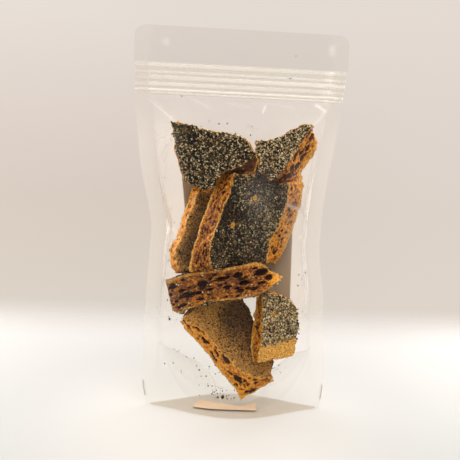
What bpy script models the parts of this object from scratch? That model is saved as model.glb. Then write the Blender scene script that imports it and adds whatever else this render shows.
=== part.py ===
# Clear stand-up pouch with a press-to-close strip, filled with broken honeycomb toffee.
# The filled pouch is one solid: the outer form of its film, from the skirt that it stands on
# to the flat header. Two stickers are separate solids, one on its back and one underneath.
#
# Sizes are in millimetres and turned into metres when a mesh is made. +Z is up, the front
# panel faces -Y, and the origin is at the middle of the base of the whole.

import math

import bmesh
import bpy
import numpy as np

MM = 0.001

# Driving sizes of the pouch.
FLAT_WIDTH = 120.0
HEADER_LEAN = 4.8  # how far the header stands to the left of the base
HEADER_LEFT = -FLAT_WIDTH / 2 - HEADER_LEAN
HEADER_RIGHT = FLAT_WIDTH / 2 - HEADER_LEAN
HEIGHT = 222.0
SEAL_WIDTH = 8.0
WELD = 0.5  # half the thickness where the two panels are welded or pressed flat
CORNER_RADIUS = 6.0
ZIP_BOTTOM = 184.0

# Outline of the filled pouch, seen from the front: (height, x) up each side. The contents
# draw the welded edges in at the waist.
LEFT_EDGE = [
    (0, -53.3), (10, -55.3), (40, -56.0), (73, -54.8), (95, -53.6), (112, -53.0),
    (124, -55.2), (144, -59.6), (163, -62.0), (181, -64.0), (200, HEADER_LEFT), (HEIGHT, HEADER_LEFT),
]
RIGHT_EDGE = [
    (0, 53.2), (12, 54.4), (44, 52.8), (77, 50.0), (98, 46.6), (118, 46.6),
    (134, 47.6), (149, 49.4), (168, 52.0), (181, 53.6), (200, HEADER_RIGHT), (HEIGHT, HEADER_RIGHT),
]

# How far each panel stands out at its middle: (height, depth).
FRONT_DEPTH = [
    (0, 16.6), (30, 18.4), (60, 20.0), (95, 20.6), (125, 18.8), (150, 14.8),
    (168, 8.8), (178, 4.4), (ZIP_BOTTOM, 1.2), (190, 0.0), (HEIGHT, 0.0),
]
BACK_DEPTH = [
    (0, 15.8), (30, 17.4), (60, 18.4), (95, 18.0), (125, 16.0), (150, 12.2),
    (168, 7.4), (178, 3.8), (ZIP_BOTTOM, 1.2), (190, 0.0), (HEIGHT, 0.0),
]
# Shape of a level section: the power of a cosine. The base is bell-shaped, the body fuller.
LENS_POWER = [(0, 1.35), (18, 1.15), (45, 0.82), (150, 0.80), (HEIGHT, 0.9)]
SEAL_OPENS_BELOW = 26.0  # under this height the welded edges spread to the tips of the base

# Where shards push the film out: panel side, the ends of a shard's edge as (x, z), how far
# it pushes, and how wide the swelling is.
FRONT, BACK = -1, 1
PRESSES = [
    (FRONT, (-13, 142), (-26, 90), 2.6, 9.0),  # near edge of the tall middle shard
    (FRONT, (-40, 72), (24, 85), 2.2, 8.0),  # the shard that lies across
    (FRONT, (18, 72), (22, 34), 2.4, 10.0),  # the small shard at lower right
    (FRONT, (26, 136), (15, 94), 1.6, 8.0),  # near edge of the right-hand shard
    (FRONT, (-42, 168), (-20, 150), 2.4, 9.0),  # upper left corner
    (FRONT, (38, 168), (30, 146), 3.0, 8.0),  # upper right corner
    (BACK, (-30, 150), (-28, 100), 2.0, 10.0),
    (BACK, (26, 140), (20, 92), 2.0, 10.0),
    (BACK, (-22, 60), (10, 24), 2.0, 11.0),
]

# Creases pulled between shards, zip and welded edges: side, two ends, height, half width.
CREASES = [
    (FRONT, (-55, 186), (-42, 170), 1.2, 3.0),
    (FRONT, (46, 184), (38, 170), 1.1, 3.0),
    (FRONT, (30, 112), (45, 104), 1.4, 3.4),
    (FRONT, (31, 114), (46, 121), 1.0, 3.0),
    (FRONT, (-52, 116), (-40, 100), 1.4, 3.6),
    (BACK, (-48, 118), (-32, 108), 1.2, 3.6),
    (BACK, (42, 98), (28, 110), 1.2, 3.6),
]

# Ribs of the press-to-close strip: height, how far the rib stands out, half width.
ZIP_RIBS = [(201.5, 0.3, 1.0), (194.5, 1.0, 1.7), (189.5, 1.0, 1.7), (185.2, 0.3, 1.0)]

# The gusset: a fold that arches up to the welded edges at both sides and hangs nearly to
# the ground in the middle. The skirt below it is what the pouch stands on.
SKIRT_THICKNESS = 1.8
GUSSET_SAG = 2.0  # clear height under the middle of the gusset
GUSSET_RISE = 35.0
GUSSET_SPREAD = 27.0
GUSSET_POWER = 2.3
SKIRT_SEAL = 5.5  # height of the weld between gusset and skirt at the middle
GUSSET_HALF_WIDTH = 42.0

# Stickers.
LABEL_GAP = 0.45
LABEL_THICKNESS = 0.3
BACK_LABEL_WIDTH = 66.0
BACK_LABEL_HEIGHT = 84.0
BACK_LABEL_CENTRE = (-2.0, 107.5)
BACK_LABEL_TILT = math.radians(1.8)
BASE_LABEL_SIZE = (37.0, 11.5)
BASE_LABEL_CENTRE = (-5.0, 0.2)
BASE_LABEL_BOTTOM = 0.9

# Mesh density.
BODY_STEP = 5.2
BODY_COLUMNS = 26
SEAL_COLUMNS = 2


def smooth_step(t):
    t = np.clip(t, 0.0, 1.0)
    return t * t * (3.0 - 2.0 * t)


def curve_through(points, at):
    """Value at a height of the smooth curve through (height, value) points."""
    heights, values = (np.array(column, float) for column in zip(*points))
    slopes = np.gradient(values, heights)
    at = np.clip(at, heights[0], heights[-1])
    i = np.clip(np.searchsorted(heights, at) - 1, 0, len(heights) - 2)
    span = heights[i + 1] - heights[i]
    t = (at - heights[i]) / span
    start = values[i] * (1 + 2 * t) * (1 - t) ** 2 + values[i + 1] * t * t * (3 - 2 * t)
    return start + span * (slopes[i] * t * (1 - t) ** 2 + slopes[i + 1] * t * t * (t - 1))


def distance_to_segment(x, z, start, end):
    a = np.array(start, float)
    along = np.array(end, float) - a
    share = np.clip(((x - a[0]) * along[0] + (z - a[1]) * along[1]) / along.dot(along), 0, 1)
    return np.hypot(x - a[0] - share * along[0], z - a[1] - share * along[1])


def corner_inset(z):
    """How much a rounded top corner takes off the edge at a height."""
    rise = np.clip(z - (HEIGHT - CORNER_RADIUS), 0.0, CORNER_RADIUS)
    return CORNER_RADIUS - np.sqrt(CORNER_RADIUS ** 2 - rise ** 2)


def edges_at(z):
    return curve_through(LEFT_EDGE, z) + corner_inset(z), curve_through(RIGHT_EDGE, z) - corner_inset(z)


def panel_depth(side, x, z):
    """Distance from the middle plane to the outside of the front or back panel."""
    left, right = edges_at(z)
    seal = SEAL_WIDTH * smooth_step(z / SEAL_OPENS_BELOW)
    across = np.clip((x - (left + right) / 2) / ((right - left) / 2 - seal), -1.0, 1.0)
    open_share = np.abs(np.cos(math.pi / 2 * across)) ** curve_through(LENS_POWER, z)
    fade = (1.0 - across ** 4) * smooth_step(z / 20.0) * smooth_step((ZIP_BOTTOM + 2 - z) / 14.0)
    depth = WELD + curve_through(FRONT_DEPTH if side == FRONT else BACK_DEPTH, z) * open_share
    for swell_side, start, end, height, width in PRESSES + CREASES:
        if swell_side == side:
            away = distance_to_segment(x, z, start, end)
            depth = depth + height * np.exp(-((away / width) ** 2)) * fade
    zip_share = np.clip((1.0 - np.abs(across)) * 12.0, 0.0, 1.0)
    for rib_height, stand_out, half_width in ZIP_RIBS:
        rib = np.clip(1.0 - np.abs(z - rib_height) / half_width, 0.0, 1.0)
        depth = depth + stand_out * smooth_step(rib * 1.6) * zip_share
    return depth


def row_heights():
    """Heights of the level sections: even up the body, close together at ribs and corners."""
    heights = list(np.arange(0.0, ZIP_BOTTOM - 2.0, BODY_STEP))
    for rib_height, _, half_width in ZIP_RIBS:
        heights += [rib_height + share * half_width for share in (-1.0, -0.45, 0.45, 1.0)]
    heights += [208.0]
    heights += [
        HEIGHT - CORNER_RADIUS + CORNER_RADIUS * math.sin(math.radians(angle))
        for angle in (0, 25, 45, 65, 90)
    ]
    return sorted(heights)


def column_places(z):
    """x of each point across one panel at a height, from the left edge to the right."""
    left, right = (float(v) for v in edges_at(z))
    seal = SEAL_WIDTH - float(corner_inset(z))
    inner = np.linspace(left + seal, right - seal, BODY_COLUMNS + 1)
    outer = np.linspace(0.0, seal, SEAL_COLUMNS + 1)[:-1]
    return np.concatenate([left + outer, inner, right - outer[::-1]])


def mesh_object(name, bm, colour, roughness):
    """Turns a bmesh in millimetres into a named object in metres with its own material."""
    bmesh.ops.scale(bm, vec=(MM, MM, MM), verts=bm.verts)
    bmesh.ops.recalc_face_normals(bm, faces=bm.faces)
    mesh = bpy.data.meshes.new(name)
    bm.to_mesh(mesh)
    bm.free()
    thing = bpy.data.objects.new(name, mesh)
    bpy.context.scene.collection.objects.link(thing)
    material = bpy.data.materials.new(name)
    material.use_nodes = True
    shader = material.node_tree.nodes["Principled BSDF"]
    shader.inputs["Base Color"].default_value = (*colour, 1.0)
    shader.inputs["Roughness"].default_value = roughness
    mesh.materials.append(material)
    return thing


def bridge_rings(bm, rings):
    """Quads between successive closed rings of the same length, capped at both ends."""
    count = len(rings[0])
    for low, high in zip(rings, rings[1:]):
        for i in range(count):
            j = (i + 1) % count
            bm.faces.new((low[i], low[j], high[j], high[i]))


def cap_panels(bm, ring):
    """Closes a ring of front and back points by strips from front to back."""
    half = len(ring) // 2
    front, back = ring[:half], ring[half:][::-1]
    for i in range(half - 1):
        bm.faces.new((front[i], front[i + 1], back[i + 1], back[i]))


def pouch_body():
    """The filled pouch as one closed solid, before the space under the gusset is cut."""
    bm = bmesh.new()
    rings = []
    for z in row_heights():
        xs = column_places(z)
        front = [(x, -d, z) for x, d in zip(xs, panel_depth(FRONT, xs, z))]
        back = [(x, d, z) for x, d in zip(xs, panel_depth(BACK, xs, z))]
        rings.append([bm.verts.new(place) for place in front + back[::-1]])
    bridge_rings(bm, rings)
    cap_panels(bm, rings[0])
    cap_panels(bm, rings[-1])
    return mesh_object("pouch", bm, (0.86, 0.80, 0.72), 0.15)


def gusset_height(x, across):
    """Height of the gusset film; across runs from -1 at the front skirt to 1 at the back."""
    arch = 1.0 - np.exp(-((np.abs(x) / GUSSET_SPREAD) ** GUSSET_POWER))
    fold = GUSSET_SAG + (GUSSET_RISE - GUSSET_SAG) * arch
    weld = SKIRT_SEAL + (GUSSET_RISE - 3.0 - SKIRT_SEAL) * (np.abs(x) / GUSSET_HALF_WIDTH) ** 4
    return weld + (fold - weld) * (1.0 - across ** 2)


def gusset_space():
    """The space under the gusset, between the front and back skirts, as a cutter."""
    bm = bmesh.new()
    stations = np.linspace(-GUSSET_HALF_WIDTH, GUSSET_HALF_WIDTH, 25)
    shares = np.linspace(-1.0, 1.0, 9)
    tops, bottoms = [], []
    for x in stations:
        weld = float(gusset_height(x, np.array(1.0)))
        top_row, bottom_row = [], []
        for share in shares:
            side = FRONT if share < 0 else BACK
            upper = max(float(panel_depth(side, x, weld)) - SKIRT_THICKNESS, 0.6)
            lower = max(float(panel_depth(side, x, 0.0)) - SKIRT_THICKNESS, 0.6)
            top_row.append(bm.verts.new((x, share * upper, float(gusset_height(x, share)))))
            bottom_row.append(bm.verts.new((x, share * lower, -4.0)))
        tops.append(top_row)
        bottoms.append(bottom_row)
    for rows in (tops, bottoms):
        for a, b in zip(rows, rows[1:]):
            for j in range(len(shares) - 1):
                bm.faces.new((a[j], a[j + 1], b[j + 1], b[j]))
    for i in range(len(stations) - 1):
        for j in (0, -1):
            bm.faces.new((tops[i][j], tops[i + 1][j], bottoms[i + 1][j], bottoms[i][j]))
    for i in (0, -1):
        for j in range(len(shares) - 1):
            bm.faces.new((tops[i][j], tops[i][j + 1], bottoms[i][j + 1], bottoms[i][j]))
    cutter = mesh_object("gusset_space", bm, (0.5, 0.5, 0.5), 0.5)
    cutter.hide_render = True
    cutter.display_type = "WIRE"
    return cutter


def back_label():
    """The tall sticker on the back panel, following the film's curve."""
    bm = bmesh.new()
    columns, rows = 15, 18
    cos_tilt, sin_tilt = math.cos(BACK_LABEL_TILT), math.sin(BACK_LABEL_TILT)
    inner, outer = [], []
    for v in np.linspace(-0.5, 0.5, rows) * BACK_LABEL_HEIGHT:
        inner_row, outer_row = [], []
        for u in np.linspace(-0.5, 0.5, columns) * BACK_LABEL_WIDTH:
            x = BACK_LABEL_CENTRE[0] + u * cos_tilt - v * sin_tilt
            z = BACK_LABEL_CENTRE[1] + u * sin_tilt + v * cos_tilt
            y = float(panel_depth(BACK, x, z)) + LABEL_GAP
            inner_row.append(bm.verts.new((x, y, z)))
            outer_row.append(bm.verts.new((x, y + LABEL_THICKNESS, z)))
        inner.append(inner_row)
        outer.append(outer_row)
    for sheet in (inner, outer):
        for a, b in zip(sheet, sheet[1:]):
            for j in range(columns - 1):
                bm.faces.new((a[j], a[j + 1], b[j + 1], b[j]))
    rims = [
        ([row[0] for row in inner], [row[0] for row in outer]),
        ([row[-1] for row in inner], [row[-1] for row in outer]),
        (inner[0], outer[0]),
        (inner[-1], outer[-1]),
    ]
    for near, far in rims:
        for j in range(len(near) - 1):
            bm.faces.new((near[j], near[j + 1], far[j + 1], far[j]))
    return mesh_object("back_label", bm, (0.78, 0.74, 0.66), 0.6)


def base_label():
    """The small sticker on the lowest part of the gusset, just clear of the ground."""
    bm = bmesh.new()
    bmesh.ops.create_cube(bm, size=1.0)
    width, length = BASE_LABEL_SIZE
    bmesh.ops.scale(bm, vec=(width, length, LABEL_THICKNESS), verts=bm.verts)
    centre = (*BASE_LABEL_CENTRE, BASE_LABEL_BOTTOM + LABEL_THICKNESS / 2)
    bmesh.ops.translate(bm, vec=centre, verts=bm.verts)
    return mesh_object("base_label", bm, (0.80, 0.68, 0.54), 0.6)


def stand_on_origin(things):
    """Moves everything so that the origin is at the middle of the base of the whole."""
    points = np.array([v.co for thing in things for v in thing.data.vertices])
    low, high = points.min(0), points.max(0)
    for thing in bpy.data.objects:
        thing.location = (-(low[0] + high[0]) / 2, -(low[1] + high[1]) / 2, 0.0)


def main():
    for thing in list(bpy.data.objects):
        bpy.data.objects.remove(thing)
    pouch = pouch_body()
    cut = pouch.modifiers.new("gusset", "BOOLEAN")
    cut.operation = "DIFFERENCE"
    cut.object = gusset_space()
    pouch.data.shade_smooth()
    stand_on_origin([pouch, back_label(), base_label()])


main()
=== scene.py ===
import math

import bmesh
import bpy
import numpy as np
from mathutils import Matrix, Vector


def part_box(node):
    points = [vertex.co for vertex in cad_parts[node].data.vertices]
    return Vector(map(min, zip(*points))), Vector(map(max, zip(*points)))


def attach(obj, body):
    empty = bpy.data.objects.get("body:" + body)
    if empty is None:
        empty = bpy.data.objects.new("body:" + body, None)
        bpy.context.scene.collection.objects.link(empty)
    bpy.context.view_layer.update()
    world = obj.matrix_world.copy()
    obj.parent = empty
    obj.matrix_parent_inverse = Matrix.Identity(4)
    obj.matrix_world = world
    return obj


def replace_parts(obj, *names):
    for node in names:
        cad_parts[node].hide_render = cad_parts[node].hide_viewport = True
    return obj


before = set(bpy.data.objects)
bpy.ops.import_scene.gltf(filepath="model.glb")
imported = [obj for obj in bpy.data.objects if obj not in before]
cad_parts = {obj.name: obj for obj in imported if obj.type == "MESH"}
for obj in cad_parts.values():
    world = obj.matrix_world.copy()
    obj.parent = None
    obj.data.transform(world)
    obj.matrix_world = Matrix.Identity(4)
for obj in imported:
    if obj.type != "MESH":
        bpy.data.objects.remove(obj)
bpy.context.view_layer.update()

# Dalgona toffee shards in a clear stand-up pouch. Lengths are in millimetres in the pouch's
# own frame (middle of its base, front towards -y) and become metres in the frame's place.
mm = 0.001

camera = {
    "lens": 43.83,
    "sensor": 36.0,
    "nearest": 0.01,
    "distance": 327.9,
    "raised": 8.74,  # degrees
    "turned": -2.85,
    "rolled": 2.72,
    "aim": (-7.07, 0.0, 109.31),
}


def cameraAxes():
    raised, turned, rolled = (math.radians(camera[k]) for k in ("raised", "turned", "rolled"))
    back = Vector((
        math.sin(turned) * math.cos(raised), -math.cos(turned) * math.cos(raised), math.sin(raised)
    ))
    right = (-back).cross(Vector((0, 0, 1))).normalized()
    up = right.cross(-back)
    place = Vector(camera["aim"]) + back * camera["distance"]
    rightRolled = right * math.cos(rolled) + up * math.sin(rolled)
    upRolled = up * math.cos(rolled) - right * math.sin(rolled)
    return place, rightRolled, upRolled, back


cameraPlace = np.array(cameraAxes()[0])
seenPlane = -8.0  # the y of the plane on which outlines are given as they show in the photo


pouch = {
    "flatWidth": 120.0,
    "headerLean": 4.8,
    "height": 222.0,
    "seal": 8.0,
    "weld": 0.5,
    "cornerRadius": 6.0,
    "zipBottom": 184.0,
    "sealOpensBelow": 26.0,
    "frontDepth": [
        (0, 16.6), (30, 18.4), (60, 20.0), (95, 20.6), (125, 18.8), (150, 14.8),
        (168, 8.8), (178, 4.4), (184, 1.2), (190, 0.0), (222, 0.0),
    ],
    "backDepth": [
        (0, 15.8), (30, 17.4), (60, 18.4), (95, 18.0), (125, 16.0), (150, 12.2),
        (168, 7.4), (178, 3.8), (184, 1.2), (190, 0.0), (222, 0.0),
    ],
    "lensPower": [(0, 1.35), (18, 1.15), (45, 0.82), (150, 0.80), (222, 0.9)],
    "swellingsFade": (20.0, 14.0),  # over what height, above the base and below the zip
}
headerLeft = -pouch["flatWidth"] / 2 - pouch["headerLean"]
headerRight = pouch["flatWidth"] / 2 - pouch["headerLean"]
pouch["leftEdge"] = [
    (0, -53.3), (10, -55.3), (40, -56.0), (73, -54.8), (95, -53.6), (112, -53.0),
    (124, -55.2), (144, -59.6), (163, -62.0), (181, -64.0), (200, headerLeft), (222, headerLeft),
]
pouch["rightEdge"] = [
    (0, 53.2), (12, 54.4), (44, 52.8), (77, 50.0), (98, 46.6), (118, 46.6),
    (134, 47.6), (149, 49.4), (168, 52.0), (181, 53.6), (200, headerRight), (222, headerRight),
]
front, back = -1, 1
swellings = [  # side, two ends, height, half width: where shards push and where film creases
    (front, (-13, 142), (-26, 90), 2.6, 9.0),
    (front, (-40, 72), (24, 85), 2.2, 8.0),
    (front, (18, 72), (22, 34), 2.4, 10.0),
    (front, (26, 136), (15, 94), 1.6, 8.0),
    (front, (-42, 168), (-20, 150), 2.4, 9.0),
    (front, (38, 168), (30, 146), 3.0, 8.0),
    (back, (-30, 150), (-28, 100), 2.0, 10.0),
    (back, (26, 140), (20, 92), 2.0, 10.0),
    (back, (-22, 60), (10, 24), 2.0, 11.0),
    (front, (-55, 186), (-42, 170), 1.2, 3.0),
    (front, (46, 184), (38, 170), 1.1, 3.0),
    (front, (30, 112), (45, 104), 1.4, 3.4),
    (front, (31, 114), (46, 121), 1.0, 3.0),
    (front, (-52, 116), (-40, 100), 1.4, 3.6),
    (back, (-48, 118), (-32, 108), 1.2, 3.6),
    (back, (42, 98), (28, 110), 1.2, 3.6),
]


def smoothStep(t):
    t = np.clip(t, 0.0, 1.0)
    return t * t * (3.0 - 2.0 * t)


def curveThrough(points, at):
    heights, values = (np.array(column, float) for column in zip(*points))
    slopes = np.gradient(values, heights)
    at = np.clip(at, heights[0], heights[-1])
    i = np.clip(np.searchsorted(heights, at) - 1, 0, len(heights) - 2)
    span = heights[i + 1] - heights[i]
    t = (at - heights[i]) / span
    start = values[i] * (1 + 2 * t) * (1 - t) ** 2 + values[i + 1] * t * t * (3 - 2 * t)
    return start + span * (slopes[i] * t * (1 - t) ** 2 + slopes[i + 1] * t * t * (t - 1))


def awayFromLine(x, z, start, end):
    a = np.array(start, float)
    along = np.array(end, float) - a
    share = np.clip(((x - a[0]) * along[0] + (z - a[1]) * along[1]) / along.dot(along), 0, 1)
    return np.hypot(x - a[0] - share * along[0], z - a[1] - share * along[1])


def cornerInset(z):
    radius = pouch["cornerRadius"]
    rise = np.clip(z - (pouch["height"] - radius), 0.0, radius)
    return radius - np.sqrt(radius ** 2 - rise ** 2)


def edgesAt(z):
    inset = cornerInset(z)
    return curveThrough(pouch["leftEdge"], z) + inset, curveThrough(pouch["rightEdge"], z) - inset


def acrossAt(x, z):
    # -1 and 1 at the inner edges of the side welds
    left, right = edgesAt(z)
    seal = pouch["seal"] * smoothStep(z / pouch["sealOpensBelow"])
    return (x - (left + right) / 2) / ((right - left) / 2 - seal)


def panelDepth(side, x, z):
    # from the middle plane to the outside of a panel, as the solid has it
    across = np.clip(acrossAt(x, z), -1.0, 1.0)
    openShare = np.abs(np.cos(math.pi / 2 * across)) ** curveThrough(pouch["lensPower"], z)
    aboveBase, belowZip = pouch["swellingsFade"]
    fade = (1.0 - across ** 4) * smoothStep(z / aboveBase)
    fade = fade * smoothStep((pouch["zipBottom"] + 2 - z) / belowZip)
    curve = pouch["frontDepth"] if side == front else pouch["backDepth"]
    depth = pouch["weld"] + curveThrough(curve, z) * openShare
    for swellSide, start, end, height, width in swellings:
        if swellSide == side:
            depth = depth + height * np.exp(-((awayFromLine(x, z, start, end) / width) ** 2)) * fade
    return depth


def rowShift():
    # from the pouch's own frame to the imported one: both are centred on the same solid
    z = np.linspace(0, pouch["height"], 445)
    left, right = edgesAt(z)
    x = left[:, None] + (right - left)[:, None] * np.linspace(0, 1, 121)[None, :]
    frontMost = panelDepth(front, x, z[:, None]).max()
    backMost = panelDepth(back, x, z[:, None]).max()
    low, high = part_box("pouch")
    middle = (np.array(low) + np.array(high)) / 2 / mm
    return middle * (1, 1, 0) - ((left.min() + right.max()) / 2, (backMost - frontMost) / 2, 0)


shift = rowShift()
print("frame read, pouch stands at", shift.round(2))


def toRow(points):
    return (np.asarray(points, float) + shift) * mm


def softNoise(shape, spacing, cell, rng):
    # smooth random field from -1 to 1 whose lumps are about one cell long
    field = rng.uniform(-1, 1, [int(n * spacing / cell) + 3 for n in shape]).astype(np.float32)
    for axis, n in enumerate(shape):
        place = np.arange(n) * spacing / cell
        low = place.astype(int)
        t = smoothStep(place - low).astype(np.float32)
        t = t.reshape([-1 if k == axis else 1 for k in range(len(shape))])
        field = np.take(field, low, axis) * (1 - t) + np.take(field, low + 1, axis) * t
    return field


def makeMesh(name, points, faces, material, values=None, smooth=True):
    faces = np.asarray(faces, np.int32)
    mesh = bpy.data.meshes.new(name)
    mesh.vertices.add(len(points))
    mesh.vertices.foreach_set("co", toRow(points).astype(np.float32).ravel())
    mesh.loops.add(faces.size)
    mesh.loops.foreach_set("vertex_index", faces.ravel())
    mesh.polygons.add(len(faces))
    mesh.polygons.foreach_set("loop_start", np.arange(0, faces.size, faces.shape[1], dtype=np.int32))
    mesh.update(calc_edges=True)
    mesh.validate()
    for label, numbers in (values or {}).items():
        numbers = np.asarray(numbers, np.float32)
        isVector = numbers.shape[-1] == 3 and numbers.ndim == 2
        layer = mesh.attributes.new(label, "FLOAT_VECTOR" if isVector else "FLOAT", "POINT")
        layer.data.foreach_set("vector" if isVector else "value", numbers.ravel())
    if smooth:
        mesh.shade_smooth()
    thing = bpy.data.objects.new(name, mesh)
    bpy.context.scene.collection.objects.link(thing)
    mesh.materials.append(material)
    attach(thing, "root")
    return thing


def gridFaces(rows, columns, flip=False):
    i, j = np.meshgrid(np.arange(rows - 1), np.arange(columns - 1), indexing="ij")
    a = (i * columns + j).ravel()
    quads = np.stack([a, a + 1, a + columns + 1, a + columns], 1)
    return quads[:, ::-1] if flip else quads


def wrapSurface(field, spacing, low):
    # quads over the zero surface of a sampled field that is negative inside
    cells = np.array(field.shape) - 1
    cellIds, places, quads = [], [], []
    for axis in range(3):
        b, c = (axis + 1) % 3, (axis + 2) % 3
        near = field.take(range(field.shape[axis] - 1), axis)
        far = field.take(range(1, field.shape[axis]), axis)
        crossing = np.argwhere((near < 0) != (far < 0))
        crossing = crossing[np.all((crossing[:, [b, c]] > 0), 1)]
        crossing = crossing[np.all(crossing[:, [b, c]] < cells[[b, c]], 1)]
        start, end = near[tuple(crossing.T)], far[tuple(crossing.T)]
        place = crossing.astype(float)
        place[:, axis] += start / (start - end)
        corners = []
        for stepB, stepC in ((0, 0), (-1, 0), (-1, -1), (0, -1)):
            cell = crossing.copy()
            cell[:, b] += stepB
            cell[:, c] += stepC
            corners.append(np.ravel_multi_index(cell.T, cells))
            places.append(place)
        quad = np.stack(corners, 1)
        quad[start > 0] = quad[start > 0][:, ::-1]
        quads.append(quad)
        cellIds += corners
    ids, where, counts = np.unique(np.concatenate(cellIds), return_inverse=True, return_counts=True)
    places = np.concatenate(places)
    points = np.stack([np.bincount(where, places[:, k]) / counts for k in range(3)], 1)
    faces = np.searchsorted(ids, np.concatenate(quads))
    return points * spacing + low, faces


def outlineDistance(outline, u, v):
    # distance to a closed outline, negative within
    nearest = np.full(np.broadcast(u, v).shape, 1e9, np.float32)
    within = np.zeros(nearest.shape, bool)
    for a, b in zip(outline, np.roll(outline, -1, 0)):
        edge = b - a
        share = np.clip(((u - a[0]) * edge[0] + (v - a[1]) * edge[1]) / edge.dot(edge), 0, 1)
        gap = (u - a[0] - share * edge[0]) ** 2 + (v - a[1] - share * edge[1]) ** 2
        nearest = np.minimum(nearest, gap)
        if a[1] != b[1]:
            side = edge[0] * (v - a[1]) / edge[1] + a[0]
            within ^= ((a[1] > v) != (b[1] > v)) & (u < side)
    nearest = np.sqrt(nearest)
    return np.where(within, -nearest, nearest)


def smoothMax(a, b, blend):
    share = np.clip(0.5 + 0.5 * (a - b) / blend, 0, 1)
    return b + (a - b) * share + blend * share * (1 - share)


class Nodes:
    # a node tree and short ways to add and join its nodes
    def __init__(self, tree):
        self.nodes, self.links = tree.nodes, tree.links
        self.places = self.nodes.new("ShaderNodeTexCoord").outputs

    def put(self, socket, value):
        if isinstance(value, bpy.types.NodeSocket):
            self.links.new(value, socket)
        elif isinstance(value, tuple) and len(value) == 3 and socket.type == "RGBA":
            socket.default_value = (*value, 1.0)
        else:
            socket.default_value = value

    def node(self, kind, inputs, **settings):
        made = self.nodes.new(kind)
        for name, value in settings.items():
            setattr(made, name, value)
        for name, value in inputs.items():
            self.put(made.inputs[name], value)
        return made

    def noise(self, size, detail=3.0, rough=0.55, place=None):
        # size of a lump in millimetres
        where = {"Vector": place or self.places["Object"], "Scale": 1 / (size * mm)}
        made = self.node("ShaderNodeTexNoise", {**where, "Detail": detail, "Roughness": rough})
        return made.outputs["Fac"]

    def value(self, label):
        return self.node("ShaderNodeAttribute", {}, attribute_name=label).outputs["Fac"]

    def ramp(self, value, stops):
        made = self.node("ShaderNodeValToRGB", {"Fac": value})
        elements = made.color_ramp.elements
        for _ in stops[2:]:
            elements.new(0.5)
        for element, (at, colour) in zip(elements, stops):
            element.position = at
            element.color = (*colour, 1.0)
        return made.outputs["Color"]

    def reach(self, value, low, high, start=0.0, end=1.0, kind="SMOOTHSTEP"):
        made = self.node(
            "ShaderNodeMapRange",
            {"Value": value, "From Min": low, "From Max": high, "To Min": start, "To Max": end},
            interpolation_type=kind,
        )
        return made.outputs["Result"]

    def mix(self, share, a, b, blend="MIX"):
        made = self.node("ShaderNodeMix", {}, data_type="RGBA", blend_type=blend)
        for socket, value in ((0, share), (6, a), (7, b)):
            self.put(made.inputs[socket], value)
        return made.outputs[2]

    def maths(self, kind, a, b):
        return self.node("ShaderNodeMath", {0: a, 1: b}, operation=kind).outputs[0]

    def plus(self, a, b, times):
        return self.maths("ADD", a, self.maths("MULTIPLY", b, times))

    def bump(self, height, strength, distance):
        made = self.node(
            "ShaderNodeBump", {"Height": height, "Strength": strength, "Distance": distance * mm}
        )
        return made.outputs["Normal"]

    def blend(self, share, a, b):
        # two shaders, each a node of its own
        return self.node("ShaderNodeMixShader", {0: share, 1: a.outputs[0], 2: b.outputs[0]})


class Finish(Nodes):
    # a material
    def __init__(self, name):
        self.material = bpy.data.materials.new(name)
        self.material.use_nodes = True
        super().__init__(self.material.node_tree)
        self.shader = self.nodes["Principled BSDF"]

    def surface(self, inputs):
        for name, value in inputs.items():
            self.put(self.shader.inputs[name], value)

    def showInstead(self, shader):
        self.links.new(shader.outputs[0], self.nodes["Material Output"].inputs["Surface"])


toffeeLook = {
    "light": (0.98, 0.420, 0.034),
    "middle": (0.58, 0.195, 0.014),
    "dark": (0.120, 0.032, 0.009),
    "cooked": (0.290, 0.112, 0.030),
    "pitShade": (0.055, 0.016, 0.009),
    # crust colours: golden sugar crust, made lighter as a painted glow of light shining through the thin
    # rims
    "crust": (1.00, 0.590, 0.140),
    "crustShade": (0.52, 0.210, 0.028),
    "coatDark": (0.012, 0.009, 0.006),
    "coatBrown": (0.130, 0.065, 0.020),
    "coatOlive": (0.075, 0.055, 0.028),
    "skin": (0.250, 0.122, 0.038),
    "skinGold": (0.640, 0.310, 0.065),
    "skinSpeck": (0.022, 0.012, 0.007),
    "shine": 0.18,
    "bump": (0.8, 0.6),
    # size of a lump, detail, roughness
    "noises": {
        "fine": (1.5, 3.0, 0.6), "lumps": (4.5, 2.0, 0.5), "grain": (0.9, 2.0), "patches": (8.0, 3.0),
        "crystals": (0.75, 2.0, 0.6),
    },
    # how much each thing counts in where the honeycomb is hollow, the crust broken, the skin golden
    "hollow": {"lumps": 0.35, "tone": 0.13, "core": 0.035},
    "broken": 0.9,
    "golden": 0.5,
    # where each thing starts and ends to show, and the share it shows with there
    "from": {
        "middle": (0.52, 0.66), "dark": (0.67, 0.80), "cooked": (0.0, 0.9, 0.0, 0.5),
        "burnt": (0.9, 1.5, 0.0, 0.6), "crustShade": (0.40, 0.60), "crust": (1.25, 1.65),
        "pitShade": (0.15, 0.9), "coatOlive": (0.42, 0.60), "coatBrown": (0.48, 0.64),
        "skinGold": (0.35, 0.95), "skinSpeck": (0.44, 0.58), "fewerSpecks": (0.6, 1.15, 0.85, 0.5),
        "roughness": (0.3, 0.7, 0.35, 0.6),
    },
}


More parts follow.
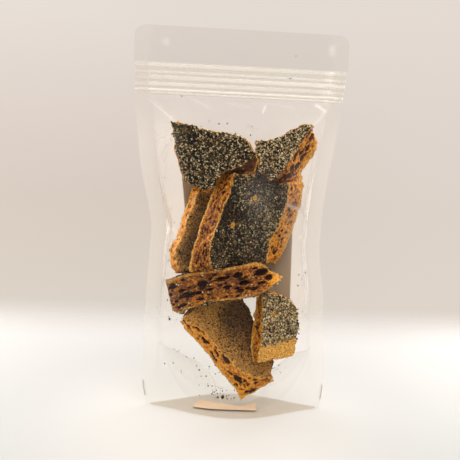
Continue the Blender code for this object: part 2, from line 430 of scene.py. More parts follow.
def toffeeMaterial():
    look = toffeeLook
    finish = Finish("toffee")
    plus = finish.plus
    slabPlace = finish.node("ShaderNodeAttribute", {}, attribute_name="slabPlace").outputs["Vector"]
    fine, lumps = (finish.noise(*look["noises"][name], slabPlace) for name in ("fine", "lumps"))
    grain, patches, crystals = (
        finish.noise(*look["noises"][name]) for name in ("grain", "patches", "crystals")
    )
    tone = finish.value("tone")

    def show(name, value, below, colour=None):
        share = finish.reach(value, *look["from"][name])
        return finish.mix(share, below, colour or look[name])

    # broken honeycomb: light walls and brown hollows, the dark hollows partly painted shade of bubbles
    # too small to carve; darker where the tone is higher, partly toffee cooked longer, partly painted
    # shade where the shard lies in shadow, darkest in that shade
    hollow = plus(fine, lumps, look["hollow"]["lumps"])
    hollow = plus(hollow, tone, look["hollow"]["tone"])
    hollow = plus(hollow, finish.value("core"), look["hollow"]["core"])
    colour = show("middle", hollow, look["light"])
    colour = show("dark", hollow, colour)
    colour = show("cooked", tone, colour)
    colour = show("burnt", tone, colour, look["dark"])
    crust = show("crustShade", crystals, look["crust"])
    broken = plus(plus(finish.value("rim"), lumps, look["broken"]), fine, look["broken"])
    colour = show("crust", broken, colour, crust)
    # painted shade in the carved bubbles: the deeper below the surface, the darker
    colour = show("pitShade", finish.value("deep"), colour)
    gold = plus(finish.value("gold"), patches, look["golden"])
    skin = show("skinGold", gold, look["skin"])
    specked = (finish.reach(*at) for at in (
        (crystals, *look["from"]["skinSpeck"]), (gold, *look["from"]["fewerSpecks"])
    ))
    skin = finish.mix(finish.maths("MULTIPLY", *specked), skin, look["skinSpeck"])
    coat = show("coatBrown", patches, show("coatOlive", grain, look["coatDark"]))
    colour = finish.mix(finish.value("skin"), colour, skin)
    colour = finish.mix(finish.value("coat"), colour, coat)
    relief = finish.maths("SUBTRACT", finish.maths("MULTIPLY", grain, 0.4), fine)
    finish.surface({
        "Base Color": colour, "Roughness": finish.reach(grain, *look["from"]["roughness"]),
        "Specular IOR Level": look["shine"], "Normal": finish.bump(relief, *look["bump"]),
    })
    return finish.material


def crumbMaterial(name, dark, light, roughness):
    finish = Finish(name)
    mottled = finish.reach(finish.noise(crumbs["mottle"], 1.0), 0.35, 0.65)
    finish.surface({
        "Base Color": finish.mix(mottled, dark, light), "Roughness": roughness,
        "Specular IOR Level": crumbs["shine"],
    })
    return finish.material


def filmMaterial(name, look):
    # clear sheet: what passes, milk where it is welded and painted reflection and highlight where the
    # weld value lies on wrinkles and creases, and gloss by the Fresnel rule
    finish = Finish(name)
    finish.nodes.remove(finish.shader)
    tint = finish.mix(finish.value("header"), look["clear"], look["headerTint"])
    tint = finish.mix(finish.value("notch"), tint, look["notchTint"])
    through = finish.node("ShaderNodeBsdfTransparent", {"Color": tint})
    milk = finish.blend(0.5, *(
        finish.node(kind, {"Color": look["milk"]})
        for kind in ("ShaderNodeBsdfDiffuse", "ShaderNodeBsdfTranslucent")
    ))
    haze = finish.reach(
        finish.noise(look["streaks"], 3.0), 0.35, 0.75, look["haze"] * 0.5, look["haze"] * 1.6
    )
    veiled = finish.blend(finish.plus(haze, finish.value("weld"), look["weldHaze"]), through, milk)
    ripple = finish.bump(finish.noise(look["ripple"], 2.0), 0.25, 0.6)
    shine = finish.blend(look["softShare"], *(
        finish.node("ShaderNodeBsdfGlossy", {"Roughness": look[kind], "Normal": ripple})
        for kind in ("roughness", "softness")
    ))
    edge = finish.node("ShaderNodeFresnel", {"IOR": look["ior"], "Normal": ripple})
    share = finish.maths("MINIMUM", edge.outputs[0], look["mostGloss"])
    finish.showInstead(finish.blend(share, veiled, shine))
    return finish.material


def paperMaterial(name, colour, shade):
    finish = Finish(name)
    fibre = finish.noise(0.7, 3.0)
    cloud = finish.noise(18.0, 2.0)
    base = finish.mix(finish.reach(cloud, 0.3, 0.7), colour, shade)
    finish.surface({
        "Base Color": finish.mix(finish.reach(fibre, 0.3, 0.8, 0.0, 0.25), base, shade),
        "Roughness": 0.7, "Normal": finish.bump(fibre, 0.2, 0.05),
    })
    return finish.material


toffee = toffeeMaterial()
print("toffee finish made")


# Each shard is a slab broken from a sheet. "at" is a point on its visible broad face, "turn"
# and "tip" say where that face looks (degrees to the right, and up), "seen" is the face's
# outline as it shows in the photo on the plane y = -8, and "farSeen" places corners of the
# hidden face in the same way; its other corners lie straight behind. The shard that lies
# across has its outline in its own plane ("plan") and two lines for its crusts instead.
# A shard's tone and its spots of darker and paler tone are partly the toffee's own colour, partly painted
# shade: a high tone, as on shardUpperLeft, darkens a cut that lies in shadow.
shards = {
    "shardUpperLeft": {
        "at": (-20, -8.9, 152), "turn": -10, "tip": 0, "thick": 11, "coat": "front",
        "seen": [
            (-42.9, 169.8), (-31.9, 168.1), (-23.6, 166.1), (-15.3, 165.0), (-8.9, 164.7),
            (-2.0, 162.6), (1.9, 158.0), (5.2, 154.2), (2.0, 150.8), (-5.0, 146.9),
            (-12.1, 144.0), (-16.4, 138.6), (-18.0, 134.6), (-24.1, 132.1), (-33.7, 138.0),
            (-36.9, 146.0), (-39.6, 155.1),
        ],
        "farSeen": {
            7: (6.4, 150.5), 8: (5.2, 143.6), 9: (-3.3, 141.6), 10: (-10.3, 140.7),
            14: (-34.4, 137.8), 15: (-37.9, 145.9), 16: (-40.5, 155.1),
        },
        "bubble": (0.8, 2.0, 500), "tone": 1.1, "coatTone": -0.5, "contrast": 1.55, "rimGlow": 0.8,
        "toneAndPaintedLightSpots": [(0.0, 147.0, 9.0, 0.5), (-16.5, 151.5, 7.0, -0.5)],
    },
    "shardUpperRight": {
        "at": (20, -4.5, 155), "turn": -9, "tip": 4, "thick": 11, "coat": "front",
        "seen": [
            (4.1, 161.6), (10.7, 162.1), (18.1, 164.5), (25.4, 169.1), (31.3, 172.6),
            (36.4, 171.8), (32.1, 166.3), (29.6, 160.5), (26.2, 156.7), (22.3, 150.1),
            (18.9, 145.6), (17.3, 141.9), (13.0, 140.6), (7.6, 145.5), (5.4, 150.1),
        ],
        "farSeen": {
            5: (37.8, 166.2), 6: (39.6, 159.5), 7: (37.2, 154.0), 8: (34.1, 149.9),
            9: (32.2, 145.5), 10: (31.9, 138.6), 11: (24.6, 137.0), 12: (13.7, 135.1),
            13: (5.5, 140.0), 14: (4.7, 147.1),
        },
        "bubble": (1.1, 2.6, 260), "tone": 0.05, "coatTone": 0.8, "contrast": 1.8,
        "toneAndPaintedLightSpots": [(13.5, 138.5, 7.5, 1.5), (6.0, 143.0, 5.0, 1.5), (33.0, 156.0, 9.0, -0.8)],
        "bareSpots": [(5.8, 150.6, 1.5)],
    },
    "shardLeft": {
        "at": (-30, -3, 108), "turn": 12, "tip": 7, "thick": 12, "coat": "back",
        "seen": [
            (-26.2, 131.0), (-22.6, 131.8), (-18.6, 130.9), (-18.2, 112.6), (-17.5, 87.5),
            (-24.5, 86.8), (-30.8, 86.1), (-35.6, 86.3), (-37.2, 91.6), (-38.0, 98.0),
            (-35.4, 104.4), (-33.0, 109.7), (-31.3, 117.2), (-28.5, 123.9),
        ],
        "farSeen": {
            0: (-30.2, 133.7), 1: (-26.4, 135.6), 2: (-18.4, 134.9), 6: (-31.8, 84.5),
            7: (-37.3, 83.9), 8: (-40.1, 87.0), 9: (-41.8, 97.9), 10: (-37.3, 106.2),
            11: (-36.4, 110.4), 12: (-34.8, 117.8), 13: (-32.0, 126.7),
        },
        "bubble": (0.7, 1.3, 140), "tone": -0.9, "coatTone": 0.0, "skinTone": 0.16,
    },
    "shardMiddle": {
        "at": (-13, -18, 115), "turn": 40, "tip": 0, "thick": 15, "coat": "front",
        "seen": [
            (-6.4, 142.7), (-2.7, 142.3), (2.4, 142.2), (7.4, 142.7), (13.4, 140.7),
            (14.0, 136.0), (14.9, 113.9), (15.8, 96.7), (4.9, 92.7), (-9.7, 87.6),
            (-14.1, 86.4), (-17.6, 89.8), (-18.5, 95.4), (-17.9, 102.9), (-15.9, 110.1),
            (-13.4, 116.8), (-11.4, 125.0), (-7.9, 131.0),
        ],
        "farSeen": {
            0: (-13.8, 142.9), 10: (-29.4, 84.6), 11: (-30.8, 87.5), 12: (-28.7, 97.2),
            13: (-26.4, 104.8), 14: (-24.9, 112.3), 15: (-22.2, 121.3), 16: (-19.9, 127.2),
            17: (-17.0, 137.5),
        },
        "bubble": (0.7, 1.4, 900), "tone": 0.2, "coatTone": -1.45, "contrast": 1.5,
        "toneAndPaintedLightSpots": [
            (12.5, 139.5, 5.0, 2.0), (-13.5, 140.0, 5.0, -1.1), (8.5, 128.0, 11.0, -0.8),
            (3.5, 108.0, 9.0, -0.8), (-5.0, 118.0, 6.0, 0.8),
        ],
        "bareSpots": [
            (-5.9, 113.5, 2.0), (5.8, 129.5, 2.2), (10.3, 120.5, 1.2),
            (-8.6, 142.4, 1.5), (-5.0, 142.6, 1.2), (0.4, 142.0, 1.2), (4.6, 142.2, 1.1),
        ],
    },
    "shardRight": {
        "at": (12.5, 3.8, 115), "turn": -52, "tip": 0, "thick": 12, "coat": "front",
        "seen": [
            (11.4, 137.6), (20.6, 138.2), (24.2, 137.9), (24.0, 129.1), (22.6, 123.9),
            (19.7, 113.7), (15.8, 106.1), (14.4, 98.9), (14.5, 91.7), (10.6, 91.6), (10.1, 113.7),
        ],
        "farSeen": {
            1: (25.0, 140.0), 2: (33.4, 139.6), 3: (32.9, 129.5), 4: (31.2, 122.0), 5: (29.3, 113.8),
            6: (26.9, 106.2), 7: (24.3, 98.5), 8: (20.1, 91.5),
        },
        "bubble": (0.7, 1.3, 300), "tone": -0.75, "coatTone": 0.1,
        "toneAndPaintedLightSpots": [
            (13.0, 112.0, 8.0, -0.8), (18.0, 137.0, 3.0, 0.8), (29.0, 131.0, 6.0, 0.6),
        ],
    },
    "shardAcross": {
        "at": (-11.7, 0, 86.7), "turn": 0, "tip": 100, "spin": 15.5, "thick": 18.5, "coat": "back",
        "plan": [
            (-33.0, -4), (-22, -11), (-6, -15), (14, -16.5), (28, -12), (34.5, -2), (27, 8),
            (8, 13), (-16, 11), (-33.5, 4),
        ],
        "upperCrust": [
            (-34, -0.8), (-29.7, -0.3), (-24.9, 0.7), (-13, 1.0), (-2.6, -0.1), (11.4, -0.9),
            (20.5, -1.3), (23.7, -2.5), (25.7, -4.6), (27.2, -7.5), (29.6, -9.5), (33.4, -12.5),
        ],
        "lowerCrust": [
            (-34, -15.6), (-31.7, -18.4), (-27.5, -20.8), (-25, -18.6), (-18.8, -17.9),
            (-10.6, -16.7), (-2.4, -18.1), (8.7, -18.9), (16.5, -19.3), (22, -18.4), (28.3, -15.9),
            (33.4, -14.4),
        ],
        "bubble": (1.1, 4.6, 420), "tone": 0.5, "coatTone": 0.0, "rimGlow": 0.6, "density": 0.3,
        "strays": 260, "strayTone": 2.0,
        "toneAndPaintedLightSpots": [(21.0, 83.0, 6.0, -1.8), (9.0, 91.0, 5.0, -0.6)],
    },
    "shardLowerLeft": {
        "at": (5, -13, 25), "turn": 22, "tip": 20, "thick": 12, "coat": "back",
        "seen": [
            (-32.5, 57.7), (-27.7, 60.9), (-24.3, 65.2), (-18.1, 68.9), (-9.7, 70.9), (1.6, 71.6),
            (3.4, 67.7), (6.8, 63.0), (8.5, 59.0), (9.2, 55.3), (14.3, 47.3), (19.1, 39.9),
            (22.3, 32.5), (20.8, 25.9), (22.9, 21.8), (17.5, 22.7), (10.2, 24.0), (3.5, 27.7),
            (-2.2, 31.7), (-8.2, 37.6), (-14.2, 44.1), (-20.2, 51.4), (-27.4, 54.9),
        ],
        "farSeen": {
            0: (-33.3, 54.8), 14: (23.2, 20.3), 15: (12.7, 13.3), 16: (3.6, 7.8),
            17: (-1.0, 15.8), 18: (-4.8, 19.9), 19: (-10.9, 26.6), 20: (-16.3, 35.5),
            21: (-24.5, 43.5), 22: (-30.8, 50.0),
        },
        "bubble": (1.1, 3.2, 260), "tone": -0.75, "coatTone": 0.0, "goldenEdge": 13.0,
        "toneAndPaintedLightSpots": [(3.0, 64.0, 14.0, 1.35), (14.0, 50.0, 9.0, 0.9), (-20.0, 61.0, 8.0, -1.5)],
    },
    "shardLowerRight": {
        "at": (22, -13.5, 52), "turn": 19, "tip": 4, "thick": 11, "coat": "front",
        "seen": [
            (14.6, 75.3), (21.4, 73.8), (29.4, 70.9), (32.9, 67.4), (35.2, 62.8), (35.9, 56.2),
            (35.6, 49.5), (34.8, 38.4), (33.0, 36.1), (20.9, 33.2), (13.0, 31.7), (12.9, 36.3),
            (14.4, 44.3), (14.2, 52.5), (13.9, 62.1), (13.8, 71.7),
        ],
        "farSeen": {
            0: (10.5, 74.4), 10: (10.2, 31.5), 11: (8.0, 38.8), 12: (7.9, 44.8), 13: (8.7, 53.1),
            14: (8.7, 61.2), 15: (10.1, 71.6),
        },
        "bubble": (0.9, 1.9, 200), "tone": -0.3, "coatTone": 1.75, "contrast": 2.2, "covered": 0.75,
        "density": 0.85, "bareSpots": [(20.6, 62.0, 1.3)],
        "bareBelow": ((14.6, 41.4), (33.4, 47.7)),
    },
}
slab = {
    "spacing": 0.5,
    "grow": 0.25,  # what the rounding takes off the outline
    "edgeNoise": [(6.0, 0.35), (2.4, 0.50), (1.2, 0.38)],  # lump size, height
    "faceNoise": [(9.0, 0.40), (2.6, 0.25), (1.3, 0.12)],
    "recess": 0.5,  # how far the honeycomb stands back between its two crusts
    "rimWidth": 0.8,
    "coatRim": 1.5,  # golden crust below the crumbs, and above the smooth underside
    "skinRim": 1.7,
    "goldenEdge": 5.0,
    "rounding": 0.6,
    "margin": 2.6,  # of its grid round a shard, and below and above its two faces
    "below": 4.2,
    "above": 3.2,
    # where bubbles start: how deep, within what, how far from the crusts and from the underside
    "bubbleBand": (0.2, 0.45, 1.6, 0.8),
    "faceTurn": (0.4, 0.35),  # from what slope a surface counts as a broad face, how soft
    "faceDepth": (1.3, 0.6),
    "spotEdge": (0.5, 0.7),  # of a spot without crumbs: how far inside it starts, how soft
    "spotGlow": (0.4, 0.6),  # golden rim of that spot: how far outside it ends, how soft
    "bareEdge": (1.0, 2.0),
    "bareGlow": 0.75,
    "coreStart": 1.5,  # how far from its crusts the tone of its middle begins
    # painted shadow from a shard's darker spots also takes gold from its smooth face
    "goldLostToPaintedShade": 0.5,  # how much of the gold goes where it is darker
    "stretch": (1, 1, 1.3),  # of the places that its finish is made from
}
bubbles = {
    "spread": 0.5,  # of sizes
    "least": 0.5,
    "byDepth": (1.25, 0.6),
    "long": (0.9, 1.5),
    "flat": (0.38, 0.62),
    "apart": (0.66, 0.9),  # along the sheet and through it, as a share of two sizes
}


def shardAxes(shard):
    turn, tip, spin = (math.radians(shard.get(k, 0)) for k in ("turn", "tip", "spin"))
    n = Vector((math.sin(turn) * math.cos(tip), -math.cos(turn) * math.cos(tip), math.sin(tip)))
    u = Vector((math.cos(turn), math.sin(turn), 0))
    v = n.cross(u)
    spinning = Matrix.Rotation(-spin, 3, "Y")
    return np.array([spinning @ u, spinning @ v, spinning @ n])


def ontoFace(shard, axes, points, behind=0.0):
    # corners that show on the seen plane, carried along the view to a plane of the shard
    onPlane = np.array(shard["at"]) - axes[2] * behind
    made = []
    for x, z in points:
        ray = np.array((x, seenPlane, z)) - cameraPlace
        reach = axes[2].dot(onPlane - cameraPlace) / axes[2].dot(ray)
        local = axes @ (cameraPlace + ray * reach - np.array(shard["at"]))
        made.append(local[:2])
    return np.array(made)


def seenFrom(points):
    # where points show from the camera on the seen plane
    away = points - cameraPlace
    away = cameraPlace + away * ((seenPlane - cameraPlace[1]) / away[:, 1])[:, None]
    return away[:, [0, 2]]


def toneAndPaintedLightAt(shard, points):
    # darker (above 0) and paler spots of a shard: partly the toffee's own tone, partly painted shadow
    # where other shards shade it and painted light where shadow is lifted
    seen = seenFrom(points)
    total = np.full(len(points), float(shard["tone"]))
    for x, z, radius, amount in shard.get("toneAndPaintedLightSpots", []):
        total += amount * np.exp(-(np.hypot(seen[:, 0] - x, seen[:, 1] - z) / radius) ** 2)
    return total


def shardOutlines(shard, axes):
    # corners of the visible face and of the hidden one
    if "plan" in shard:
        outline = np.array(shard["plan"], float)
        return outline, outline
    near = ontoFace(shard, axes, shard["seen"])
    far = near.copy()
    for corner, place in shard["farSeen"].items():
        far[corner] = ontoFace(shard, axes, [place], shard["thick"])[0]
    return near, far


def carveBubbles(field, grids, shard, cutBand, rng):
    spacing = slab["spacing"]
    typical, largest, count = shard["bubble"]
    candidates = np.argwhere(cutBand)
    chosen = candidates[rng.integers(0, len(candidates), count)]
    fromMiddle = np.abs(grids[2].ravel()[chosen[:, 2]] + shard["thick"] / 2) / (shard["thick"] / 2)
    most, less = bubbles["byDepth"]
    sizes = typical * np.exp(rng.normal(0, bubbles["spread"], count)) * (most - less * fromMiddle)
    sizes = np.clip(sizes, bubbles["least"], largest)
    order = np.argsort(-sizes)
    sizes, chosen = sizes[order], chosen[order]
    centres = np.stack([grids[k].ravel()[chosen[:, k]] for k in range(3)], 1)
    kept = []
    along, through = bubbles["apart"]
    for centre, size in zip(centres, sizes):
        length, height = (size * rng.uniform(*bubbles[way]) for way in ("long", "flat"))
        turn = rng.uniform(0, math.pi)
        if any(
            np.hypot(*(centre[:2] - other[:2])) < along * (size + reach)
            and abs(centre[2] - other[2]) < through * (height + tall)
            for other, reach, tall in kept
        ):
            continue
        kept.append((centre, size, height))
        window = []
        for k in range(3):
            axis = grids[k].ravel()
            first = np.searchsorted(axis, centre[k] - length - spacing)
            window.append(slice(first, np.searchsorted(axis, centre[k] + length + spacing)))
        du = grids[0][window[0]] - centre[0]
        dv = grids[1][:, window[1]] - centre[1]
        dn = grids[2][:, :, window[2]] - centre[2]
        alongU = du * math.cos(turn) + dv * math.sin(turn)
        alongV = dv * math.cos(turn) - du * math.sin(turn)
        q = np.sqrt((alongU / length) ** 2 + (alongV / size) ** 2 + (dn / height) ** 2)
        window = tuple(window)
        field[window] = np.maximum(field[window], (1 - q) * height)
    return field


def shardForm(shard, seed):
    rng = np.random.default_rng(seed)
    axes = shardAxes(shard)
    near, far = shardOutlines(shard, axes)
    spacing, thick = slab["spacing"], shard["thick"]
    corners = np.concatenate([near, far])
    low, high = corners.min(0) - slab["margin"], corners.max(0) + slab["margin"]
    u = np.arange(low[0], high[0], spacing)[:, None, None]
    v = np.arange(low[1], high[1], spacing)[None, :, None]
    n = np.arange(-thick - slab["below"], slab["above"], spacing)[None, None, :]
    shape = (u.size, v.size, n.size)
    edge = np.stack([
        outlineDistance(near + (far - near) * min(max(-level / thick, 0), 1), u[:, :, 0], v[:, :, 0])
        for level in n.ravel()
    ], 2) - slab["grow"]
    for cell, height in slab["edgeNoise"]:
        edge = edge + height * softNoise(shape, spacing, cell, rng)
    lumps = sum(h * softNoise(shape[:2], spacing, c, rng) for c, h in slab["faceNoise"])[:, :, None]
    upper, lower = np.zeros(u.shape), np.full(u.shape, -float(thick))
    if "upperCrust" in shard:
        upper, lower = (
            np.interp(u, *zip(*shard[line])) for line in ("upperCrust", "lowerCrust")
        )
    upper, lower = upper - lumps, lower + lumps
    fromRim = np.minimum(upper - n, n - lower)
    edge = edge + slab["recess"] * smoothStep(fromRim / (slab["rimWidth"] * 2))
    base = smoothMax(edge, -fromRim, slab["rounding"])
    fromSkin = n - lower if shard["coat"] == "front" else upper - n
    depth, within, fromCrust, beyondRim = slab["bubbleBand"]
    cutBand = (np.abs(base + depth) < within) & (edge > -fromRim) & (fromRim > fromCrust)
    cutBand &= fromSkin > slab["skinRim"] + beyondRim
    field = carveBubbles(base.copy(), (u, v, n), shard, cutBand, rng)
    return {
        "axes": axes, "low": np.array([u[0, 0, 0], v[0, 0, 0], n[0, 0, 0]]), "base": base,
        "field": field, "edge": edge, "n": n, "upper": upper, "lower": lower,
        "front": near, "back": far, "rng": rng,
    }


def nearest(values, form, local):
    index = np.rint((local - form["low"]) / slab["spacing"]).astype(int)
    index = np.clip(index, 0, np.array(values.shape) - 1)
    return values[tuple(index.T)]


def onFace(facing, under):
    # 1 where a surface looks out from a broad face and lies close to it
    (slope, slopeSoft), (depth, depthSoft) = slab["faceTurn"], slab["faceDepth"]
    return smoothStep((facing - slope) / slopeSoft) * smoothStep((depth - under) / depthSoft)


def fromSpot(shard, form, x, z, flat):
    return np.hypot(*(flat - ontoFace(shard, form["axes"], [(x, z)])[0]).T)


def aboveLine(points, ends):
    along = ends[1] - ends[0]
    away = along[0] * (points[:, 1] - ends[0][1]) - along[1] * (points[:, 0] - ends[0][0])
    return away / np.hypot(*along)


def makeShard(name, shard, seed):
    form = shardForm(shard, seed)
    spacing = slab["spacing"]
    local, faces = wrapSurface(form["field"], spacing, form["low"])
    facing = nearest(np.gradient(form["base"], spacing, axis=2), form, local)
    # deep: how far a point lies inside a carved bubble, for its painted shade
    deep = np.clip(-nearest(form["base"], form, local), 0, 3)
    underFront = nearest(form["upper"] - form["n"], form, local)
    overBack = nearest(form["n"] - form["lower"], form, local)
    frontFace, backFace = onFace(facing, underFront), onFace(-facing, overBack)
    coat, skin, underCoat, underSkin = frontFace, backFace, underFront, overBack
    if shard["coat"] == "back":
        coat, skin, underCoat, underSkin = backFace, frontFace, overBack, underFront
    rim = np.exp(-(np.clip(underCoat, 0, 9) / slab["coatRim"]) ** 2)
    rim = np.maximum(rim, smoothStep(slab["skinRim"] + 0.5 - underSkin))
    # the rims' golden crust carries that painted glow
    rim = rim * shard.get("rimGlow", 0.8)
    (start, startSoft), (end, endSoft) = slab["spotEdge"], slab["spotGlow"]
    for x, z, radius in shard.get("bareSpots", []):
        away = fromSpot(shard, form, x, z, local[:, :2])
        coat = coat * smoothStep((away - radius + start) / startSoft)
        rim = np.maximum(rim, smoothStep((radius + end - away) / endSoft) * frontFace)
    if "bareBelow" in shard:
        form["bareLine"] = ontoFace(shard, form["axes"], shard["bareBelow"])
        above, soft = slab["bareEdge"]
        bare = smoothStep((above - aboveLine(local, form["bareLine"])) / soft)
        coat, rim = coat * (1 - bare), np.maximum(rim, slab["bareGlow"] * bare * frontFace)
    points = local @ form["axes"] + np.array(shard["at"])
    inward = np.clip(nearest(form["edge"], form, local), -40, 0)
    golden = np.exp(inward / shard.get("goldenEdge", slab["goldenEdge"]))
    # tone: the shard's own tone with its spots, painted shadow and painted light among them
    tone = toneAndPaintedLightAt(shard, points)
    darker = slab["goldLostToPaintedShade"] * (tone - shard["tone"])
    fromCrust, half = np.minimum(underFront, overBack) - slab["coreStart"], shard["thick"] / 2
    values = {
        "deep": deep, "rim": rim, "coat": coat * shard.get("covered", 1.0), "skin": skin, "tone": tone,
        "gold": golden - shard.get("skinTone", 0.0) - darker,
        "slabPlace": local * slab["stretch"] * mm,
        "core": smoothStep(fromCrust / (half - slab["coreStart"])),
    }
    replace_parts(makeMesh(name, points, faces, toffee, values), "pouch")
    print(name, len(faces) * 2, "triangles")
    return form, points


forms, shardPoints = {}, {}
for order, (name, shard) in enumerate(shards.items()):
    forms[name], shardPoints[name] = makeShard(name, shard, 40 + order)


crumbs = {
    "perSquare": 3.6,  # crumbs on a square millimetre of coated face
    "onSkin": 0.5,
    "radius": (0.25, 0.40, 0.78),  # least, usual, most
    "spread": 0.34,
    "uneven": 0.22,
    "stretch": (0.62, 1.25),
    "pile": (0.7, 0.2),  # height of the layer on the coated face and on the other one
    "strayShare": 0.04,
    "toneWeight": 0.25,
    "otherTone": -1.2,  # on the underside, and of strays
    "patch": 7.0,
    "patchField": (150, 240),
    "patchiness": 0.15,
    "margin": 1.5,
    "under": 1.1,  # how deep below a crumb there has to be toffee
    "overEdge": (-0.35, 0.5),
    "lineSpread": 1.5,  # at the line that they stop at
    "mottle": 1.3,
    "shine": 0.25,
    # share, darkest and lightest colour, roughness
    "kinds": {
        "crumbsDark": (0.38, (0.004, 0.003, 0.003), (0.016, 0.012, 0.009), 0.30),
        "crumbsBrown": (0.15, (0.090, 0.040, 0.012), (0.42, 0.200, 0.050), 0.45),
        "crumbsOlive": (0.27, (0.11, 0.082, 0.040), (0.42, 0.32, 0.165), 0.5),
        "crumbsCream": (0.20, (0.66, 0.49, 0.25), (1.0, 0.87, 0.57), 0.5),
    },
}


def roundBit():
    # seven corners and ten sides
    turns = np.arange(5) * 2 * math.pi / 5
    ring = np.column_stack([np.cos(turns), np.sin(turns), 0 * turns])
    corners = np.concatenate([ring, [(0, 0, 1), (0, 0, -1)]])
    sides = [(k, (k + 1) % 5, 5) for k in range(5)] + [((k + 1) % 5, k, 6) for k in range(5)]
    return corners, np.array(sides)


def randomTurns(count, rng):
    q = rng.normal(size=(count, 4))
    q /= np.linalg.norm(q, axis=1)[:, None]
    w, x, y, z = q.T
    return np.stack([
        np.stack([1 - 2 * (y * y + z * z), 2 * (x * y - z * w), 2 * (x * z + y * w)], 1),
        np.stack([2 * (x * y + z * w), 1 - 2 * (x * x + z * z), 2 * (y * z - x * w)], 1),
        np.stack([2 * (x * z - y * w), 2 * (y * z + x * w), 1 - 2 * (x * x + y * y)], 1),
    ], 1)


def randomRadii(look, count, rng):
    least, usual, most = look["radius"]
    return np.clip(usual * np.exp(rng.normal(0, look["spread"], count)), least, most)


def makeBits(name, places, radii, material, rng):
    corners, sides = roundBit()
    count, uneven = len(places), crumbs["uneven"]
    stretch = rng.uniform(*crumbs["stretch"], (count, 1, 3))
    bits = corners[None] * (1 + rng.uniform(-uneven, uneven, (count, len(corners), 1))) * stretch
    bits = np.einsum("nij,nkj->nki", randomTurns(count, rng), bits * radii[:, None, None])
    points = (bits + places[:, None]).reshape(-1, 3)
    faces = (sides[None] + len(corners) * np.arange(count)[:, None, None]).reshape(-1, 3)
    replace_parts(makeMesh(name, points, faces, material, smooth=False), "pouch")
    print(name, len(faces), "triangles")


def crumbPlaces(shard, form, onCoat):
    # places on one broad face, in the pouch's frame
    rng = form["rng"]
    onFront = (shard["coat"] == "front") == onCoat
    outline = form["front" if onFront else "back"]
    low, high = outline.min(0) - crumbs["margin"], outline.max(0) + crumbs["margin"]
    perSquare = crumbs["perSquare"] * shard.get("density", 1.0) if onCoat else crumbs["onSkin"]
    count = int(np.prod(high - low) * perSquare)
    flat = rng.uniform(low, high, (count, 2))
    level = form["upper"] if onFront else form["lower"]
    level = np.broadcast_to(level, form["base"].shape[:2] + (1,))
    height = nearest(level, form, np.column_stack([flat, np.full(count, form["low"][2])]))
    outward = 1 if onFront else -1
    below = np.column_stack([flat, height - crumbs["under"] * outward])
    kept = -nearest(form["base"], form, below) > rng.uniform(*crumbs["overEdge"], count)
    for x, z, radius in shard.get("bareSpots", []):
        kept &= fromSpot(shard, form, x, z, flat) > radius
    if "bareLine" in form:
        loose = rng.normal(0, crumbs["lineSpread"], count)
        kept &= aboveLine(flat, form["bareLine"]) + loose > 0
    flat, height = flat[kept], height[kept]
    pile = crumbs["pile"][0 if onCoat else 1]
    height = height + outward * pile * rng.uniform(-0.1, 1.0, len(flat)) ** 2
    return np.column_stack([flat, height]) @ form["axes"] + np.array(shard["at"])


def makeCrumbs():
    rng = np.random.default_rng(7)
    patches = softNoise(crumbs["patchField"], 1.0, crumbs["patch"], rng)
    half = crumbs["patchField"][0] / 2
    places, paleness, contrast = [], [], []
    for name, shard in shards.items():
        coated, bare = (crumbPlaces(shard, forms[name], onCoat) for onCoat in (True, False))
        count = int(len(coated) * crumbs["strayShare"]) + shard.get("strays", 0)
        strays = shardPoints[name][rng.integers(0, len(shardPoints[name]), count)]
        mine = np.concatenate([coated, bare, strays])
        places.append(mine)
        patch = patches[(mine[:, 0] + half).astype(int), mine[:, 2].astype(int)]
        other = crumbs["otherTone"]
        tones = (shard["coatTone"], other, shard.get("strayTone", other))
        tone = np.repeat(tones, (len(coated), len(bare), count))
        # the shard's spots darken and lighten its crumbs too, as painted shadow and painted light
        tone = tone + shard["tone"] - toneAndPaintedLightAt(shard, mine)
        paleness.append(crumbs["toneWeight"] * tone + crumbs["patchiness"] * patch)
        contrast.append(np.full(len(mine), shard.get("contrast", 1.0)))
    places = np.concatenate(places)
    draw = 0.5 + rng.uniform(-0.5, 0.5, len(places)) * np.concatenate(contrast)
    draw += np.concatenate(paleness)
    kinds = crumbs["kinds"]
    ends = np.cumsum([kind[0] for kind in kinds.values()])
    which = np.searchsorted(ends[:-1], draw, side="right")
    for order, (name, (_, *look)) in enumerate(kinds.items()):
        mine = places[which == order]
        makeBits(name, mine, randomRadii(crumbs, len(mine), rng), crumbMaterial(name, *look), rng)
    return places


crumbPoints = makeCrumbs()


